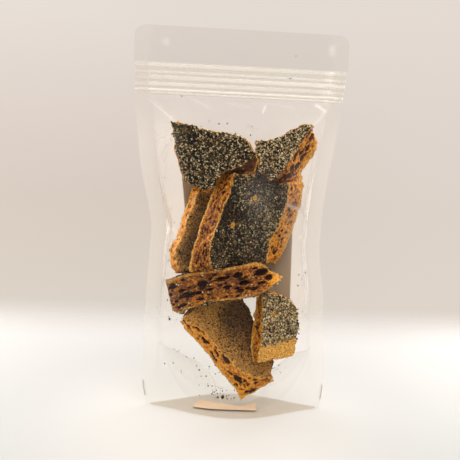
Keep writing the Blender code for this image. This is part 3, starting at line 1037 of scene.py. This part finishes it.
film = {
    "cell": 1.0,  # grid on which the film is drawn tight over the shards
    "from": -70.0,  # the x where that grid starts and ends
    "to": 62.0,
    "clearance": 0.45,
    "coverGrow": 2,
    "smoothing": 9,
    "tightening": 220,
    "pullToForm": 0.03,
    "facets": 0.62,  # how much of it lies in flat facets, the rest is smoothly curved
    "facetCell": 3,  # in cells of the grid
    "facetHalf": 50.0,  # half width that the facets are stretched in
    "slimmerFrom": 20.0,
    "tightFrom": (2.0, 22.0),  # above what height it is drawn tight, how gradually
    "sidePower": 1.15,
    "columns": 122,
    "sealColumns": 8,
    "rowHeight": 0.9,
    "halfWeld": 0.16,
    "movedOut": 1.6,  # how far its form is moved out at the sides
    "sideRound": (0.11, 0.6),  # share of its half width that bends into the weld, and the power
    "zipFlat": 3.0,  # height over which it lies flat to the zip
    "header": (202.2, 0.8),  # where the greyer header starts, over what height
    "notch": (0.8, 5.0, 16.0, 1.5),  # the dark nick in both edges: width, heights, softness
    "look": {
        "clear": (0.996, 0.993, 0.984), "headerTint": (0.962, 0.955, 0.948),
        "notchTint": (0.70, 0.66, 0.62), "milk": (0.97, 0.94, 0.895), "haze": 0.001,
        "weldHaze": 1.0, "streaks": 16.0, "ripple": 11.0, "roughness": 0.10, "softness": 0.34,
        "softShare": 0.5, "ior": 1.22, "mostGloss": 0.34,
    },
    "weldMilk": 0.10,
    # painted reflection: milk where the film turns away beside its welds
    "sideMilk": 0.015,  # where the film turns away beside its welds
    # painted light: milk that lightens the back panel, in its middle and at its sides
    "backMilk": (0.07, 0.38),  # the back panel catches the light: in its middle, at its sides
    # side, middle, half sizes, milk: film that lies in fine wrinkles, its milk a painted reflection
    "veils": [
        (front, (29, 119), (8, 30), 0.13), (front, (8, 132), (10, 13), 0.085),
        (front, (-46, 148), (9, 22), 0.06), (front, (44, 150), (6, 30), 0.05),
        (front, (-46, 96), (6, 50), 0.05), (front, (-42, 34), (13, 32), 0.05),
        (front, (9, 112), (9, 20), 0.03), (front, (-12, 34), (14, 12), 0.02),
        (front, (-47.5, 213.5), (2.2, 2.2), 0.16), (front, (47.0, 213.5), (3.2, 3.2), 0.30),
    ],
    # side, start, end, height, half width, milk: creases between the shards and the welds, their milk a
    # painted highlight along them
    "creases": [
        (front, (-55.9, 181.4), (-41.4, 170.4), 0.35, 0.5, 0.45),
        (front, (-31, 183), (-22, 178.5), 0.4, 1.0, 0.14), (front, (-11, 182), (-1, 180), 0.4, 1.0, 0.12),
        (front, (13, 183), (25, 180.5), 0.4, 1.0, 0.12),
        (front, (38.6, 183.0), (43.6, 179.8), 0.7, 1.1, 0.60),
        (front, (9.4, 181.0), (7.9, 177.0), 0.2, 0.8, 0.40),
        (front, (41.0, 185.6), (48.2, 182.3), 0.3, 1.0, 0.30),
        (front, (45.5, 181.0), (38.0, 172.0), 0.4, 1.8, 0.18),
        (front, (-51.6, 160.2), (-46.2, 162.7), 0.7, 1.7, 0.45),
        (front, (-55.0, 131.4), (-48.6, 113.7), 0.5, 1.9, 0.45),
        (front, (-47.4, 128.8), (-41.6, 114.0), 0.8, 1.9, 0.42),
        (front, (-46.0, 158.0), (-45.0, 138.0), 0.3, 2.6, 0.12),
        (front, (-46.5, 112.0), (-45.5, 94.0), 0.3, 2.4, 0.16),
        (front, (-50.6, 112.0), (-49.4, 66.0), 0.3, 2.6, 0.12),
        (front, (24.2, 126.8), (46.2, 118.4), 1.1, 1.2, 0.42),
        (front, (32.2, 126.3), (45.6, 117.0), 0.8, 0.9, 0.40),
        (front, (34.0, 123.0), (41.0, 110.6), 0.9, 1.2, 0.36),
        (front, (36.4, 136.0), (34.4, 126.0), 0.7, 1.3, 0.30),
        (front, (39.3, 107.0), (40.2, 95.6), 0.3, 2.0, 0.25),
        (front, (42.6, 153.0), (41.6, 128.0), 0.3, 2.4, 0.14),
        (front, (44.8, 92.0), (36.8, 82.0), 0.3, 1.8, 0.22),
        (front, (37.0, 82.0), (34.0, 72.0), 0.3, 1.8, 0.16),
        (front, (-42.0, 160.0), (-47.0, 150.0), 0.3, 2.2, 0.18),
        (back, (-55, 184), (-40, 168), 0.9, 1.6, 0.10),
        (back, (47, 183), (36, 168), 0.9, 1.6, 0.18),
        (back, (-52, 116), (-38, 104), 0.9, 1.6, 0.12),
        (back, (46, 118), (36, 106), 0.9, 1.4, 0.12),
        (back, (-50, 60), (-36, 52), 0.6, 1.8, 0.08),
        (back, (49, 58), (36, 46), 0.6, 1.8, 0.08),
    ],
}


def shardCover(side, x, z):
    # how far the shards and crumbs reach on a grid, with room for the film's thickness
    cover = np.zeros((x.size, z.size))
    everything = np.concatenate(list(shardPoints.values()) + [crumbPoints])
    i = np.rint((everything[:, 0] - x[0, 0]) / film["cell"]).astype(int)
    j = np.rint(everything[:, 2] / film["cell"]).astype(int)
    outward = everything[:, 1] * side + film["clearance"]
    for di in (-1, 0, 1):
        for dj in (-1, 0, 1):
            np.maximum.at(cover, (i + di, np.clip(j + dj, 0, z.size - 1)), outward)
    return cover


def facetDepths(side, x, z, cover):
    # flat facets stretched over the outermost points, the welds, the zip and the base
    coarse, half = film["facetCell"], film["facetHalf"]
    across = acrossAt(x, z) * half
    i, j = np.nonzero(cover > 2)
    outermost = {}
    for k in np.argsort(cover[i, j]):
        place = i[k], j[k]
        outermost[(i[k] // coarse, j[k] // coarse)] = (across[place], z[0, j[k]], cover[place])
    points = list(outermost.values())
    for height in np.arange(6.0, pouch["zipBottom"], 4.0):
        points += [(-half, height, 0.0), (half, height, 0.0)]
    points += [(share * half, pouch["zipBottom"] + 1, 0.0) for share in np.linspace(-1, 1, 11)]
    left, right = edgesAt(np.array(0.0))
    for share in np.linspace(-1, 1, 17):
        base = (left + right) / 2 + share * (right - left) / 2
        points.append((share * half, 0.0, float(panelDepth(side, base, np.array(0.0)))))
    shell = bmesh.new()
    for point in points:
        shell.verts.new(point)
    bmesh.ops.convex_hull(shell, input=shell.verts)
    shell.normal_update()
    middle = Vector(np.mean(points, 0))
    depth = np.full(across.shape, 99.0)
    for face in shell.faces:
        normal = face.normal.copy()
        if normal.dot(face.calc_center_median() - middle) < 0:
            normal = -normal
        if normal.z > 0.02:
            level = normal.dot(face.verts[0].co)
            depth = np.minimum(depth, (level - normal.x * across - normal.y * z) / normal.z)
    shell.free()
    return np.maximum(depth, 0)


def creaseHeights(side, x, z):
    total = np.zeros(np.broadcast(x, z).shape)
    for creaseSide, start, end, height, width, _ in film["creases"]:
        if creaseSide == side:
            away = awayFromLine(x, z, start, end)
            total = total + height * np.exp(-np.sqrt((away / width) ** 2 + 0.06) + 0.245)
    return total


def milkAndPaintedSheenAt(side, x, z):
    # how white the film looks: milky in its welds; beside them, in fine wrinkles and on creases the white
    # is painted reflection and highlight
    across = np.abs(acrossAt(x, z))
    below = smoothStep((pouch["zipBottom"] - z) / 30)
    if side == front:
        milk = film["sideMilk"] * smoothStep((across - 0.5) / 0.4) * below
        milk = milk * (0.5 + 0.5 * smoothStep(z / 60))
    else:
        middle, sides = film["backMilk"]
        milk = (middle + (sides - middle) * smoothStep((across - 0.35) / 0.35)) * below
        milk = milk * smoothStep((1.02 - across) / 0.1) * smoothStep((z - 30) / 45)
    for veilSide, middle, half, amount in film["veils"]:
        if veilSide == side:
            away = ((x - middle[0]) / half[0]) ** 2 + ((z - middle[1]) / half[1]) ** 2
            milk = milk + amount * np.exp(-(away ** 1.5))
    for creaseSide, start, end, _, width, amount in film["creases"]:
        if creaseSide == side:
            milk = milk + amount * np.exp(-((awayFromLine(x, z, start, end) / width * 1.2) ** 2))
    welded = smoothStep((across - 0.95) / 0.08)
    return milk + (film["weldMilk"] * (0.2 + 0.8 * below * smoothStep(z / 90)) - milk) * welded


def neighbourMean(values):
    around = values.copy()
    around[1:-1, 1:-1] = (
        values[2:, 1:-1] + values[:-2, 1:-1] + values[1:-1, 2:] + values[1:-1, :-2]
    ) / 4
    return around


def tightDepths(side):
    # the film drawn over the shards: partly flat facets, partly a smooth skin
    x = np.arange(film["from"], film["to"], film["cell"])[:, None]
    z = np.arange(0.0, pouch["height"] + 1, film["cell"])[None, :]
    form = np.broadcast_to(panelDepth(side, x, z), (x.size, z.size)).copy()
    across = np.clip(acrossAt(x, z), -1, 1)
    held = (np.abs(across) >= 1) | (z > pouch["zipBottom"])
    cover = shardCover(side, x, z)
    inner = cover[1:-1, 1:-1]
    for _ in range(film["coverGrow"]):
        np.maximum(inner, np.maximum(cover[2:, 1:-1], cover[:-2, 1:-1]), out=inner)
        np.maximum(inner, np.maximum(cover[1:-1, 2:], cover[1:-1, :-2]), out=inner)
    cover = np.where(held, 0, cover)
    slimmer = np.cos(math.pi / 2 * across) ** (
        film["sidePower"] - np.minimum(curveThrough(pouch["lensPower"], z), 1.0)
    )
    form = np.where(z > film["slimmerFrom"], (form - pouch["weld"]) * slimmer, form)
    depth = np.maximum(form, cover)
    pull = film["pullToForm"]
    for _ in range(film["tightening"]):
        eased = (neighbourMean(depth) + pull * form) / (1 + pull)
        depth = np.where(held, form, np.maximum(eased, cover))
    facets = facetDepths(side, x, z, cover)
    blended = depth + (facets - depth) * film["facets"]
    start, soft = film["tightFrom"]
    share = smoothStep((z - start) / soft)
    blended = form * (1 - share) + blended * share
    for _ in range(film["smoothing"]):
        blended = np.where(held, 0, neighbourMean(blended))
    return x[:, 0], z[0], blended


def sampleGrid(xs, zs, values, x, z):
    step = film["cell"]
    a = np.clip((x - xs[0]) / step, 0, len(xs) - 1.001)
    b = np.clip((z - zs[0]) / step, 0, len(zs) - 1.001)
    i, j = a.astype(int), b.astype(int)
    s, t = a - i, b - j
    low = values[i, j] * (1 - s) + values[i + 1, j] * s
    high = values[i, j + 1] * (1 - s) + values[i + 1, j + 1] * s
    return low * (1 - t) + high * t


tight = {side: tightDepths(side) for side in (front, back)}


def filmDepth(side, x, z):
    signed = acrossAt(x, z)
    across = np.abs(signed)
    inward = film["movedOut"] * smoothStep((across - 0.6) / 0.4)
    depth = sampleGrid(*tight[side], x - np.sign(signed) * inward, z)
    share, power = film["sideRound"]
    depth = depth * (1 - np.clip(1 - (1 - across) / share, 0, 1) ** 2) ** power
    fade = smoothStep((1 - across) / 0.3) * smoothStep((pouch["zipBottom"] + 1 - z) / 4)
    depth = depth + creaseHeights(side, x, z) * fade * smoothStep(z / 10)
    welded = smoothStep((across - 0.985) / 0.03)
    flat = np.maximum(welded, smoothStep((z - pouch["zipBottom"] + 1) / film["zipFlat"]))
    return np.maximum(depth * (1 - flat), 0) + film["halfWeld"]


def filmDepthAt(side, x, z):
    return float(filmDepth(side, np.array([x]), np.array([z]))[0])


def filmSheet(side):
    z = np.linspace(0.0, pouch["height"], int(pouch["height"] / film["rowHeight"]))[:, None]
    left, right = edgesAt(z)
    seal = pouch["seal"] - cornerInset(z)
    inner = np.linspace(0, 1, film["columns"])[None, :]
    outer = np.linspace(0, 1, film["sealColumns"])[None, :-1]
    x = np.concatenate([
        left + outer * seal, left + seal + inner * (right - left - 2 * seal),
        right - outer[:, ::-1] * seal,
    ], 1)
    z = np.broadcast_to(z, x.shape)
    points = np.stack([x, side * filmDepth(side, x, z), z], 2).reshape(-1, 3)
    headerStart, headerSoft = film["header"]
    width, low, high, soft = film["notch"]
    notch = np.exp(-((np.minimum(x - left, right - x) / width) ** 2))
    notch = notch * smoothStep((z - low) / soft) * smoothStep((high - z) / soft)
    header = smoothStep((z - headerStart) / headerSoft)
    # the weld value carries the welds' milk and the painted reflection and highlight on the film
    values = {"weld": milkAndPaintedSheenAt(side, x, z), "header": header, "notch": notch}
    return points, gridFaces(*x.shape, flip=side == back), values


def filmPiece(name, points, faces, material, values):
    sheet = makeMesh(name, points, faces, material, values)
    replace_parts(sheet, "pouch")
    print(name, len(faces) * 2, "triangles")
    return sheet


filmLook = filmMaterial("clearFilm", film["look"])
for name, side in (("filmFront", front), ("filmBack", back)):
    points, faces, values = filmSheet(side)
    filmPiece(name, points, faces, filmLook, values)

gusset = {
    # height of the fold along the pouch: a sack that sags between its two ends
    "fold": [
        (-47.5, 39.5), (-39.8, 36.0), (-27.6, 30.0), (-18.3, 24.0), (-11.0, 13.5), (-4.0, 3.8),
        (2.0, 2.0), (8.0, 2.6), (14.0, 6.5), (17.5, 14.0), (23.0, 23.0), (34.0, 34.0), (45.5, 38.0),
    ],
    "rise": 35.0,
    "weldHeight": 5.5,
    "solidHalfWidth": 42.0,
    "belly": (-3.5, 19.0, 0.22),  # middle and half width of its lowest part, and its milk
    # painted highlight along the fold
    "foldMilk": 0.03,
    "weldMilk": 0.04,
    "foldShade": 0.14,
    "grid": (180, 33),
    "inset": 0.25,
    "look": dict(film["look"], ior=1.12, haze=0.004, mostGloss=0.02),
}


def gussetHeight(x, across):
    fold = curveThrough(gusset["fold"], x)
    share = (np.abs(x) / gusset["solidHalfWidth"]) ** 4
    weld = gusset["weldHeight"] + (gusset["rise"] - 3.0 - gusset["weldHeight"]) * share
    weld = np.minimum(weld, gusset["rise"] + 4)
    return weld + (fold - weld) * (1.0 - across ** 2)


def makeGusset():
    fold = gusset["fold"]
    x = np.linspace(fold[0][0], fold[-1][0], gusset["grid"][0])[:, None]
    across = np.linspace(-1, 1, gusset["grid"][1])[None, :]
    z = gussetHeight(x, across)
    weld, crown = (gussetHeight(x, np.full((1, 1), at)) for at in (1.0, 0.0))
    reach = np.where(across < 0, filmDepth(front, x, weld), filmDepth(back, x, weld))
    y = across * np.maximum(reach - gusset["inset"], 0.1)
    points = np.stack([np.broadcast_to(x, z.shape), y, z], 2).reshape(-1, 3)
    middle, half, milk = gusset["belly"]
    belly = milk * smoothStep((half - np.abs(x - middle)) / 4) * smoothStep((across + 0.1) / 0.15)
    belly = belly * smoothStep((0.9 - across) / 0.3)
    milk = np.maximum(belly, gusset["foldMilk"] * np.exp(-((across / 0.16) ** 2)))
    milk = np.maximum(milk, gusset["weldMilk"] * np.abs(across) ** 12)
    # painted shade under the crown of the fold, carried in the notch value as a darker tint
    shaded = gusset["foldShade"] * np.exp(-(((crown - z) / 6.0) ** 2)) * smoothStep((crown - 6) / 8)
    values = {
        "weld": np.broadcast_to(milk, z.shape), "header": np.zeros(z.size),
        "notch": np.broadcast_to(shaded, z.shape),
    }
    material = filmMaterial("gussetFilm", gusset["look"])
    filmPiece("filmGusset", points, gridFaces(*z.shape), material, values)


underside = {
    "height": 0.45,
    "inset": (2.5, 0.3),  # from the pouch's corners, and from both films
    "grid": (90, 12),
    # the tint of this film is painted shade under the pouch
    "look": dict(
        film["look"], clear=(0.91, 0.875, 0.82), ior=1.05, haze=0.01, weldHaze=0.1, mostGloss=0.05
    ),
}


def makeUnderside():
    # the film between the two rims that the pouch stands on, tinted dark as painted shade of the floor
    # beneath the pouch
    rows, columns = underside["grid"]
    fromCorner, fromFilm = underside["inset"]
    left, right = edgesAt(np.array(0.0))
    x = np.linspace(left + fromCorner, right - fromCorner, rows)[:, None]
    reach = [filmDepth(side, x, 0 * x) - fromFilm for side in (front, back)]
    share = np.linspace(0, 1, columns)[None, :]
    y = -reach[0] * (1 - share) + reach[1] * share
    points = np.stack([np.broadcast_to(x, y.shape), y, 0 * y + underside["height"]], 2).reshape(-1, 3)
    values = {"weld": np.zeros(y.size), "header": np.zeros(y.size)}
    material = filmMaterial("undersideShadeFilm", underside["look"])
    filmPiece("filmUnderside", points, gridFaces(rows, columns), material, values)


makeGusset()
makeUnderside()

specks = {
    # side of the panel, middle, spread, count: loose crumbs that cling to the film
    "heaps": [
        (front, (-33, 36), (5.0, 4.0), 12), (front, (-20, 24), (7.0, 6.0), 18),
        (front, (-9, 16.5), (6.0, 2.6), 26), (front, (-43, 90), (3.0, 12.0), 14),
        (front, (-42, 112), (3.0, 9.0), 10), (front, (-45, 150), (3.0, 6.0), 4),
        (front, (-40, 62), (4.0, 9.0), 9), (front, (23, 30), (5.0, 5.0), 12),
        (front, (38, 62), (3.0, 12.0), 8), (front, (34, 84), (3.0, 5.0), 5),
        (front, (-20, 169), (8.0, 2.0), 6), (front, (0, 168), (5.0, 2.4), 8),
        (back, (-10, 40), (26.0, 26.0), 22), (back, (0, 120), (30.0, 34.0), 18),
    ],
    "radius": (0.20, 0.34, 0.60),
    "spread": 0.4,
    "large": [
        ((-7.6, 13.2), 1.35), ((-10.4, 13.0), 0.70), ((-4.9, 12.6), 0.55), ((-2.6, 12.8), 0.50),
        ((-0.9, 13.4), 0.50), ((-7.9, 17.4), 0.60), ((-11.5, 17.6), 0.55), ((-10.2, 19.4), 0.45),
        ((-16.0, 19.6), 0.45), ((-13.9, 19.9), 0.50), ((-20.6, 25.0), 0.45), ((-40.2, 57.2), 0.8),
        ((-23.5, 31.0), 0.45), ((-36.8, 38.9), 0.50),
    ],
    "outside": [((25.2, 209.4), 0.34), ((22.7, 197.0), 0.50), ((-37.9, 184.3), 0.60)],
    "sunkIn": 0.7,
    "look": ((0.010, 0.007, 0.005), (0.060, 0.040, 0.024), 0.4),  # two colours, roughness
}


def makeSpecks():
    rng = np.random.default_rng(11)
    places, radii = [], []
    for side, middle, spread, count in specks["heaps"]:
        flat = np.array(middle) + np.clip(rng.normal(0, 1, (count, 2)), -2, 2) * spread
        flat = flat[(np.abs(acrossAt(*flat.T)) < 0.96) & (flat[:, 1] > 8)]
        size = randomRadii(specks, len(flat), rng)
        y = side * (filmDepth(side, flat[:, 0], flat[:, 1]) - size - film["halfWeld"])
        places.append(np.column_stack([flat[:, 0], y, flat[:, 1]]))
        radii.append(size)
    for (x, z), size in specks["large"]:
        places.append([(x, size + film["halfWeld"] - filmDepthAt(front, x, z), z)])
        radii.append([size])
    for (x, z), size in specks["outside"]:
        reach = max(filmDepthAt(front, x, z), film["halfWeld"] + zipStrip["thick"])
        places.append([(x, -reach - size * specks["sunkIn"], z)])
        radii.append([size])
    look = crumbMaterial("looseSpecks", *specks["look"])
    makeBits("looseSpecks", np.concatenate(places), np.concatenate(radii), look, rng)


sharpAngle = math.radians(50)

zipStrip = {
    "low": 184.8,
    "high": 202.0,
    "thick": 0.22,
    # height, half width, how far it stands out, how white it looks at its left and right end: milky
    # plastic, with a painted highlight on each crest
    "ribs": [
        (185.5, 0.6, 0.30, 0.25, 0.6), (187.3, 0.8, 0.55, 1.1, 1.1), (190.2, 1.2, 0.40, 0.45, 0.3),
        (193.8, 1.3, 0.40, 0.2, 0.8), (196.9, 0.8, 0.20, 0.35, 0.4), (200.7, 1.3, 0.30, 0.40, 0.3),
    ],
    "endFlare": (46.0, 3.0, 1.6),  # middle, half width and strength of the glints at one end
    "crestPower": 2.2,
    "grid": (56, 96),
    "weldEdge": (8.6, 1.2),  # from its ends, and how soft
    "flattened": 0.75,  # in the side welds
    "white": (1.0, 0.6),  # front and back strip
    "veil": 0.12,
    "clearerEnds": (0.45, 0.25),  # how much less white in the left and right weld
    "look": dict(
        film["look"], ior=1.5, haze=0.02, weldHaze=1.0, roughness=0.12, softness=0.25, mostGloss=0.16,
        ripple=90.0,
    ),
}


def makeZip():
    look = filmMaterial("zipPlastic", zipStrip["look"])
    rows, columns = zipStrip["grid"]
    z = np.linspace(zipStrip["low"], zipStrip["high"], columns)
    ribs, white = np.zeros(columns), np.zeros((2, columns))
    for height, half, stand, *ends in zipStrip["ribs"]:
        profile = np.sqrt(np.clip(1 - ((z - height) / half) ** 2, 0, 1))
        ribs += stand * profile
        white += np.array(ends)[:, None] * profile ** zipStrip["crestPower"]
    share = np.linspace(0, 1, rows)[:, None]
    left, right = edgesAt(z)
    x = left + 0.5 + share * (right - left - 1.0)
    weldEdge, soft = zipStrip["weldEdge"]
    inWeld = [smoothStep((weldEdge - reach) / soft) for reach in (x - left, right - x)]
    inner = np.full(x.shape, film["halfWeld"] + 0.04)
    outer = inner + zipStrip["thick"] + ribs * (1 - zipStrip["flattened"] * np.maximum(*inWeld))
    depth = np.concatenate([outer, inner[:, ::-1]], 1)
    xs = np.concatenate([x, x[:, ::-1]], 1)
    zs = np.broadcast_to(np.concatenate([z, z[::-1]]), xs.shape)
    # a tube of sheet all round, and the two ends that close it
    around = depth.shape[1]
    i, j = np.meshgrid(np.arange(rows - 1), np.arange(around), indexing="ij")
    a, b = (i * around + j).ravel(), (i * around + (j + 1) % around).ravel()
    k = np.arange(columns - 1)
    start = np.stack([k, k + 1, around - 2 - k, around - 1 - k], 1)
    end = (start + (rows - 1) * around)[:, ::-1]
    faces = np.concatenate([np.stack([a, a + around, b + around, b], 1), start, end])
    middle, half, strength = zipStrip["endFlare"]
    # crest white: milky ribs with painted highlights on their crests and painted glints at one end
    crest = white[0] * (1 - share) + white[1] * share + zipStrip["veil"]
    crest = crest * (1 - sum(part * less for part, less in zip(inWeld, zipStrip["clearerEnds"])))
    crest = crest * (1 + strength * np.exp(-(((x - middle) / half) ** 2)))
    for name, side, most in zip(("zipFront", "zipBack"), (front, back), zipStrip["white"]):
        points = np.stack([xs, side * depth, zs], 2).reshape(-1, 3)
        values = {"weld": np.concatenate([crest * most, 0 * x], 1), "header": np.zeros(xs.size)}
        strip = filmPiece(name, points, faces if side == front else faces[:, ::-1], look, values)
        strip.data.set_sharp_from_angle(angle=sharpAngle)


makeZip()
makeSpecks()

backLabel = {
    "size": (64.8, 84.0),
    "centre": (-1.4, 107.5),
    "tilt": 1.8,
    "leftLean": (0.09, 12.0),  # how its upper left corner is drawn out, and from what height
    "grid": (60, 48),
    "thick": 0.18,
    "gap": 0.12,
    "colour": (0.58, 0.46, 0.305),
    "shade": (0.53, 0.42, 0.275),
}
baseLabel = {
    # left and right ends, front edge and back edge, which bends in below the sack's belly
    "frontEdge": [(-24.9, -4.3), (-15, -6.4), (-5, -7.0), (5, -7.2), (13.3, -7.3)],
    "backEdge": [(-21.3, 4.9), (-11.2, 1.9), (-3.2, -0.3), (3.4, -2.1), (9.1, -0.4), (14.0, 1.9)],
    "bottom": 0.75,
    "curl": 0.5,
    "thick": 0.2,
    "grid": (40, 10),
    "colour": (0.71, 0.535, 0.38),
    "shade": (0.64, 0.45, 0.31),
}


def makeLabel(name, look, inner, outer):
    # two faces from grids of points, and the edge between them
    rows, columns = look["grid"]
    count = rows * columns
    ring = np.concatenate([
        np.arange(columns), np.arange(1, rows) * columns + columns - 1,
        (rows - 1) * columns + np.arange(columns - 2, -1, -1), np.arange(rows - 2, 0, -1) * columns,
    ])
    after = np.roll(ring, -1)
    wall = np.stack([ring, ring + count, after + count, after], 1)
    faces = np.concatenate([gridFaces(rows, columns), gridFaces(rows, columns, True) + count, wall])
    points = np.concatenate([np.reshape(side, (-1, 3)) for side in (inner, outer)])
    return makeMesh(name, points, faces, paperMaterial(name + "Paper", look["colour"], look["shade"]))


def makeBackLabel():
    rows, columns = backLabel["grid"]
    tilt = math.radians(backLabel["tilt"])
    width, height = backLabel["size"]
    a = np.linspace(-0.5, 0.5, rows)[:, None] * height
    b = np.linspace(-0.5, 0.5, columns)[None, :] * width
    x = backLabel["centre"][0] + b * math.cos(tilt) - a * math.sin(tilt)
    z = backLabel["centre"][1] + b * math.sin(tilt) + a * math.cos(tilt)
    lean, leanFrom = backLabel["leftLean"]
    x = x - lean * np.clip(a - leanFrom, 0, None) * (0.5 - b / width) ** 3
    y = filmDepth(back, x, z) + backLabel["gap"]
    inner, outer = (np.stack([x, y + more, z], 2) for more in (0, backLabel["thick"]))
    label = makeLabel("backLabel", backLabel, inner, outer)
    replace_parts(label, "back_label")


def makeBaseLabel():
    rows, columns = baseLabel["grid"]
    u = np.linspace(0, 1, rows)[:, None]
    v = np.linspace(0, 1, columns)[None, :]
    edges = []
    for edge in (baseLabel["frontEdge"], baseLabel["backEdge"]):
        x = edge[0][0] + u * (edge[-1][0] - edge[0][0])
        edges.append(np.stack([x, curveThrough(edge, x)]))
    x, y = edges[0] * (1 - v) + edges[1] * v
    z = baseLabel["bottom"] + baseLabel["curl"] * (2 * u - 1) ** 4 * v ** 2
    lower = np.stack([x, y, z], 2)
    upper = lower + (0, 0, baseLabel["thick"])
    label = makeLabel("baseLabel", baseLabel, lower, upper)
    label.data.set_sharp_from_angle(angle=sharpAngle)
    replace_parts(label, "base_label")


makeBackLabel()
makeBaseLabel()
print("labels made")


stage = {
    "floor": (0.440, 0.458, 0.470),
    # painted light: the floor takes a lighter tone further back, for the brighter floor behind the pouch
    "floorFarTone": (0.508, 0.510, 0.525),
    "floorTurns": (-60.0, 120.0),  # the y where it starts and ends to take its far tone
    "floorCloud": (60.0, 0.04),  # size of a lump in its tone, and how strong
    "floorFades": (105.0, 228.0),
    "floorHalf": 1500.0,
    "paintedLightPool": (0.605, 0.603, 0.598),  # painted light: a paler pool under and round the pouch, where its shadow would fall
    "paintedLightMiddle": (-8.0, -30.0, 0.0),
    "paintedLightReach": (20.0, 140.0),
    "sky": [  # elevation of view in degrees, colour
        (-90, (0.60, 0.55, 0.50)), (-17, (0.72, 0.66, 0.59)), (-13.8, (0.72, 0.64, 0.56)),
        (-5.7, (0.70, 0.61, 0.54)), (2.3, (0.745, 0.655, 0.595)), (11.8, (0.81, 0.74, 0.68)),
        (40, (0.86, 0.80, 0.75)), (90, (0.9, 0.86, 0.82)),
    ],
    "rightSky": (0.745, 0.670, 0.610),
    "rightFrom": (-0.15, 0.40, 0.0, 0.6),  # x of view, and the share of rightSky there
    "skyAcross": [(-0.42, 1.015), (-0.08, 0.97), (0.06, 0.97), (0.36, 1.0)],  # x of view, brightness
    "dimFrom": (-0.22, -0.88),  # the y of a direction, where the room starts and stops to dim
    "dimRoom": (0.40, 0.37, 0.33),
    "lightColour": (1.0, 0.955, 0.885),
    "lights": {
        "overhead": {"at": (70, -240, 560), "size": (420, 320), "power": 1.85, "aim": (0, 0, 60)},
        "overBehind": {"at": (-20, 300, 600), "size": (1400, 900), "power": 3.6, "aim": (0, 0, 60)},
        "leftPanel": {"at": (-470, 320, 180), "size": (400, 420), "power": 2.3, "aim": (0, 0, 110)},
        "rightPanel": {"at": (450, 360, 180), "size": (400, 420), "power": 1.9, "aim": (0, 0, 110)},
    },
}


def makeFloor():
    finish = Finish("floor")
    place = finish.places["Object"]
    y = finish.node("ShaderNodeSeparateXYZ", {"Vector": place}).outputs["Y"]
    size, strength = stage["floorCloud"]
    away = finish.reach(y, *(at * mm for at in stage["floorTurns"]))
    away = finish.plus(away, finish.noise(size, 2.0), strength)
    tone = finish.mix(away, stage["floor"], stage["floorFarTone"])
    # painted light: the floor paler round the pouch, hiding its shadow
    middle = tuple(at * mm for at in stage["paintedLightMiddle"])
    fromMiddle = finish.node("ShaderNodeVectorMath", {0: place, 1: middle}, operation="DISTANCE")
    lightPool = finish.reach(
        fromMiddle.outputs["Value"], *(at * mm for at in stage["paintedLightReach"]), start=1.0, end=0.0
    )
    finish.surface({"Base Color": finish.mix(lightPool, tone, stage["paintedLightPool"]), "Roughness": 0.6})
    ends = finish.reach(y, *(at * mm for at in stage["floorFades"]))
    clear = finish.node("ShaderNodeBsdfTransparent", {})
    finish.showInstead(finish.blend(ends, finish.shader, clear))
    mesh = bpy.data.meshes.new("floor")
    half, far = stage["floorHalf"] * mm, stage["floorFades"][1] * mm
    corners = [(-half, -half, 0), (half, -half, 0), (half, far, 0), (-half, far, 0)]
    mesh.from_pydata(corners, [], [(0, 1, 2, 3)])
    mesh.materials.append(finish.material)
    floor = bpy.data.objects.new("floor", mesh)
    bpy.context.scene.collection.objects.link(floor)


def makeSky():
    world = bpy.data.worlds.new("room")
    bpy.context.scene.world = world
    world.use_nodes = True
    room = Nodes(world.node_tree)
    view = room.node("ShaderNodeSeparateXYZ", {"Vector": room.places["Generated"]}).outputs
    up, across = (room.reach(view[axis], -1.0, 1.0, kind="LINEAR") for axis in ("Z", "X"))
    heights = [((math.sin(math.radians(angle)) + 1) / 2, at) for angle, at in stage["sky"]]
    levels = [((x + 1) / 2, (level,) * 3) for x, level in stage["skyAcross"]]
    # towards the right the backdrop is more even
    aside = room.reach(view["X"], *stage["rightFrom"], kind="LINEAR")
    sky = room.mix(aside, room.ramp(up, heights), stage["rightSky"])
    sky = room.mix(1.0, sky, room.ramp(across, levels), "MULTIPLY")
    # the room in front of the pouch is dim, so its film hides little of what is in it
    sky = room.mix(room.reach(view["Y"], *stage["dimFrom"]), sky, stage["dimRoom"])
    room.put(room.nodes["Background"].inputs["Color"], sky)
    room.put(room.nodes["Background"].inputs["Strength"], 1.0)


def makeLights():
    for name, light in stage["lights"].items():
        lamp = bpy.data.lights.new(name, "AREA")
        lamp.shape = "RECTANGLE"
        lamp.size, lamp.size_y = (s * mm for s in light["size"])
        lamp.energy = light["power"]
        lamp.color = stage["lightColour"]
        thing = bpy.data.objects.new(name, lamp)
        thing.visible_camera = False
        thing.location = Vector(light["at"]) * mm
        aim = Vector(light["aim"]) * mm - thing.location
        thing.rotation_euler = aim.to_track_quat("-Z", "Y").to_euler()
        bpy.context.scene.collection.objects.link(thing)


def makeCamera():
    place, right, up, behind = cameraAxes()
    data = bpy.data.cameras.new("camera")
    data.lens = camera["lens"]
    data.sensor_width = camera["sensor"]
    data.clip_start = camera["nearest"]
    thing = bpy.data.objects.new("camera", data)
    turn = Matrix((right, up, behind)).transposed().to_4x4()
    thing.matrix_world = Matrix.Translation(Vector(toRow(place))) @ turn
    bpy.context.scene.collection.objects.link(thing)
    bpy.context.scene.camera = thing


makeFloor()
makeSky()
makeLights()
makeCamera()
bpy.context.scene.view_settings.view_transform = "Standard"
print("stage, light and camera made")
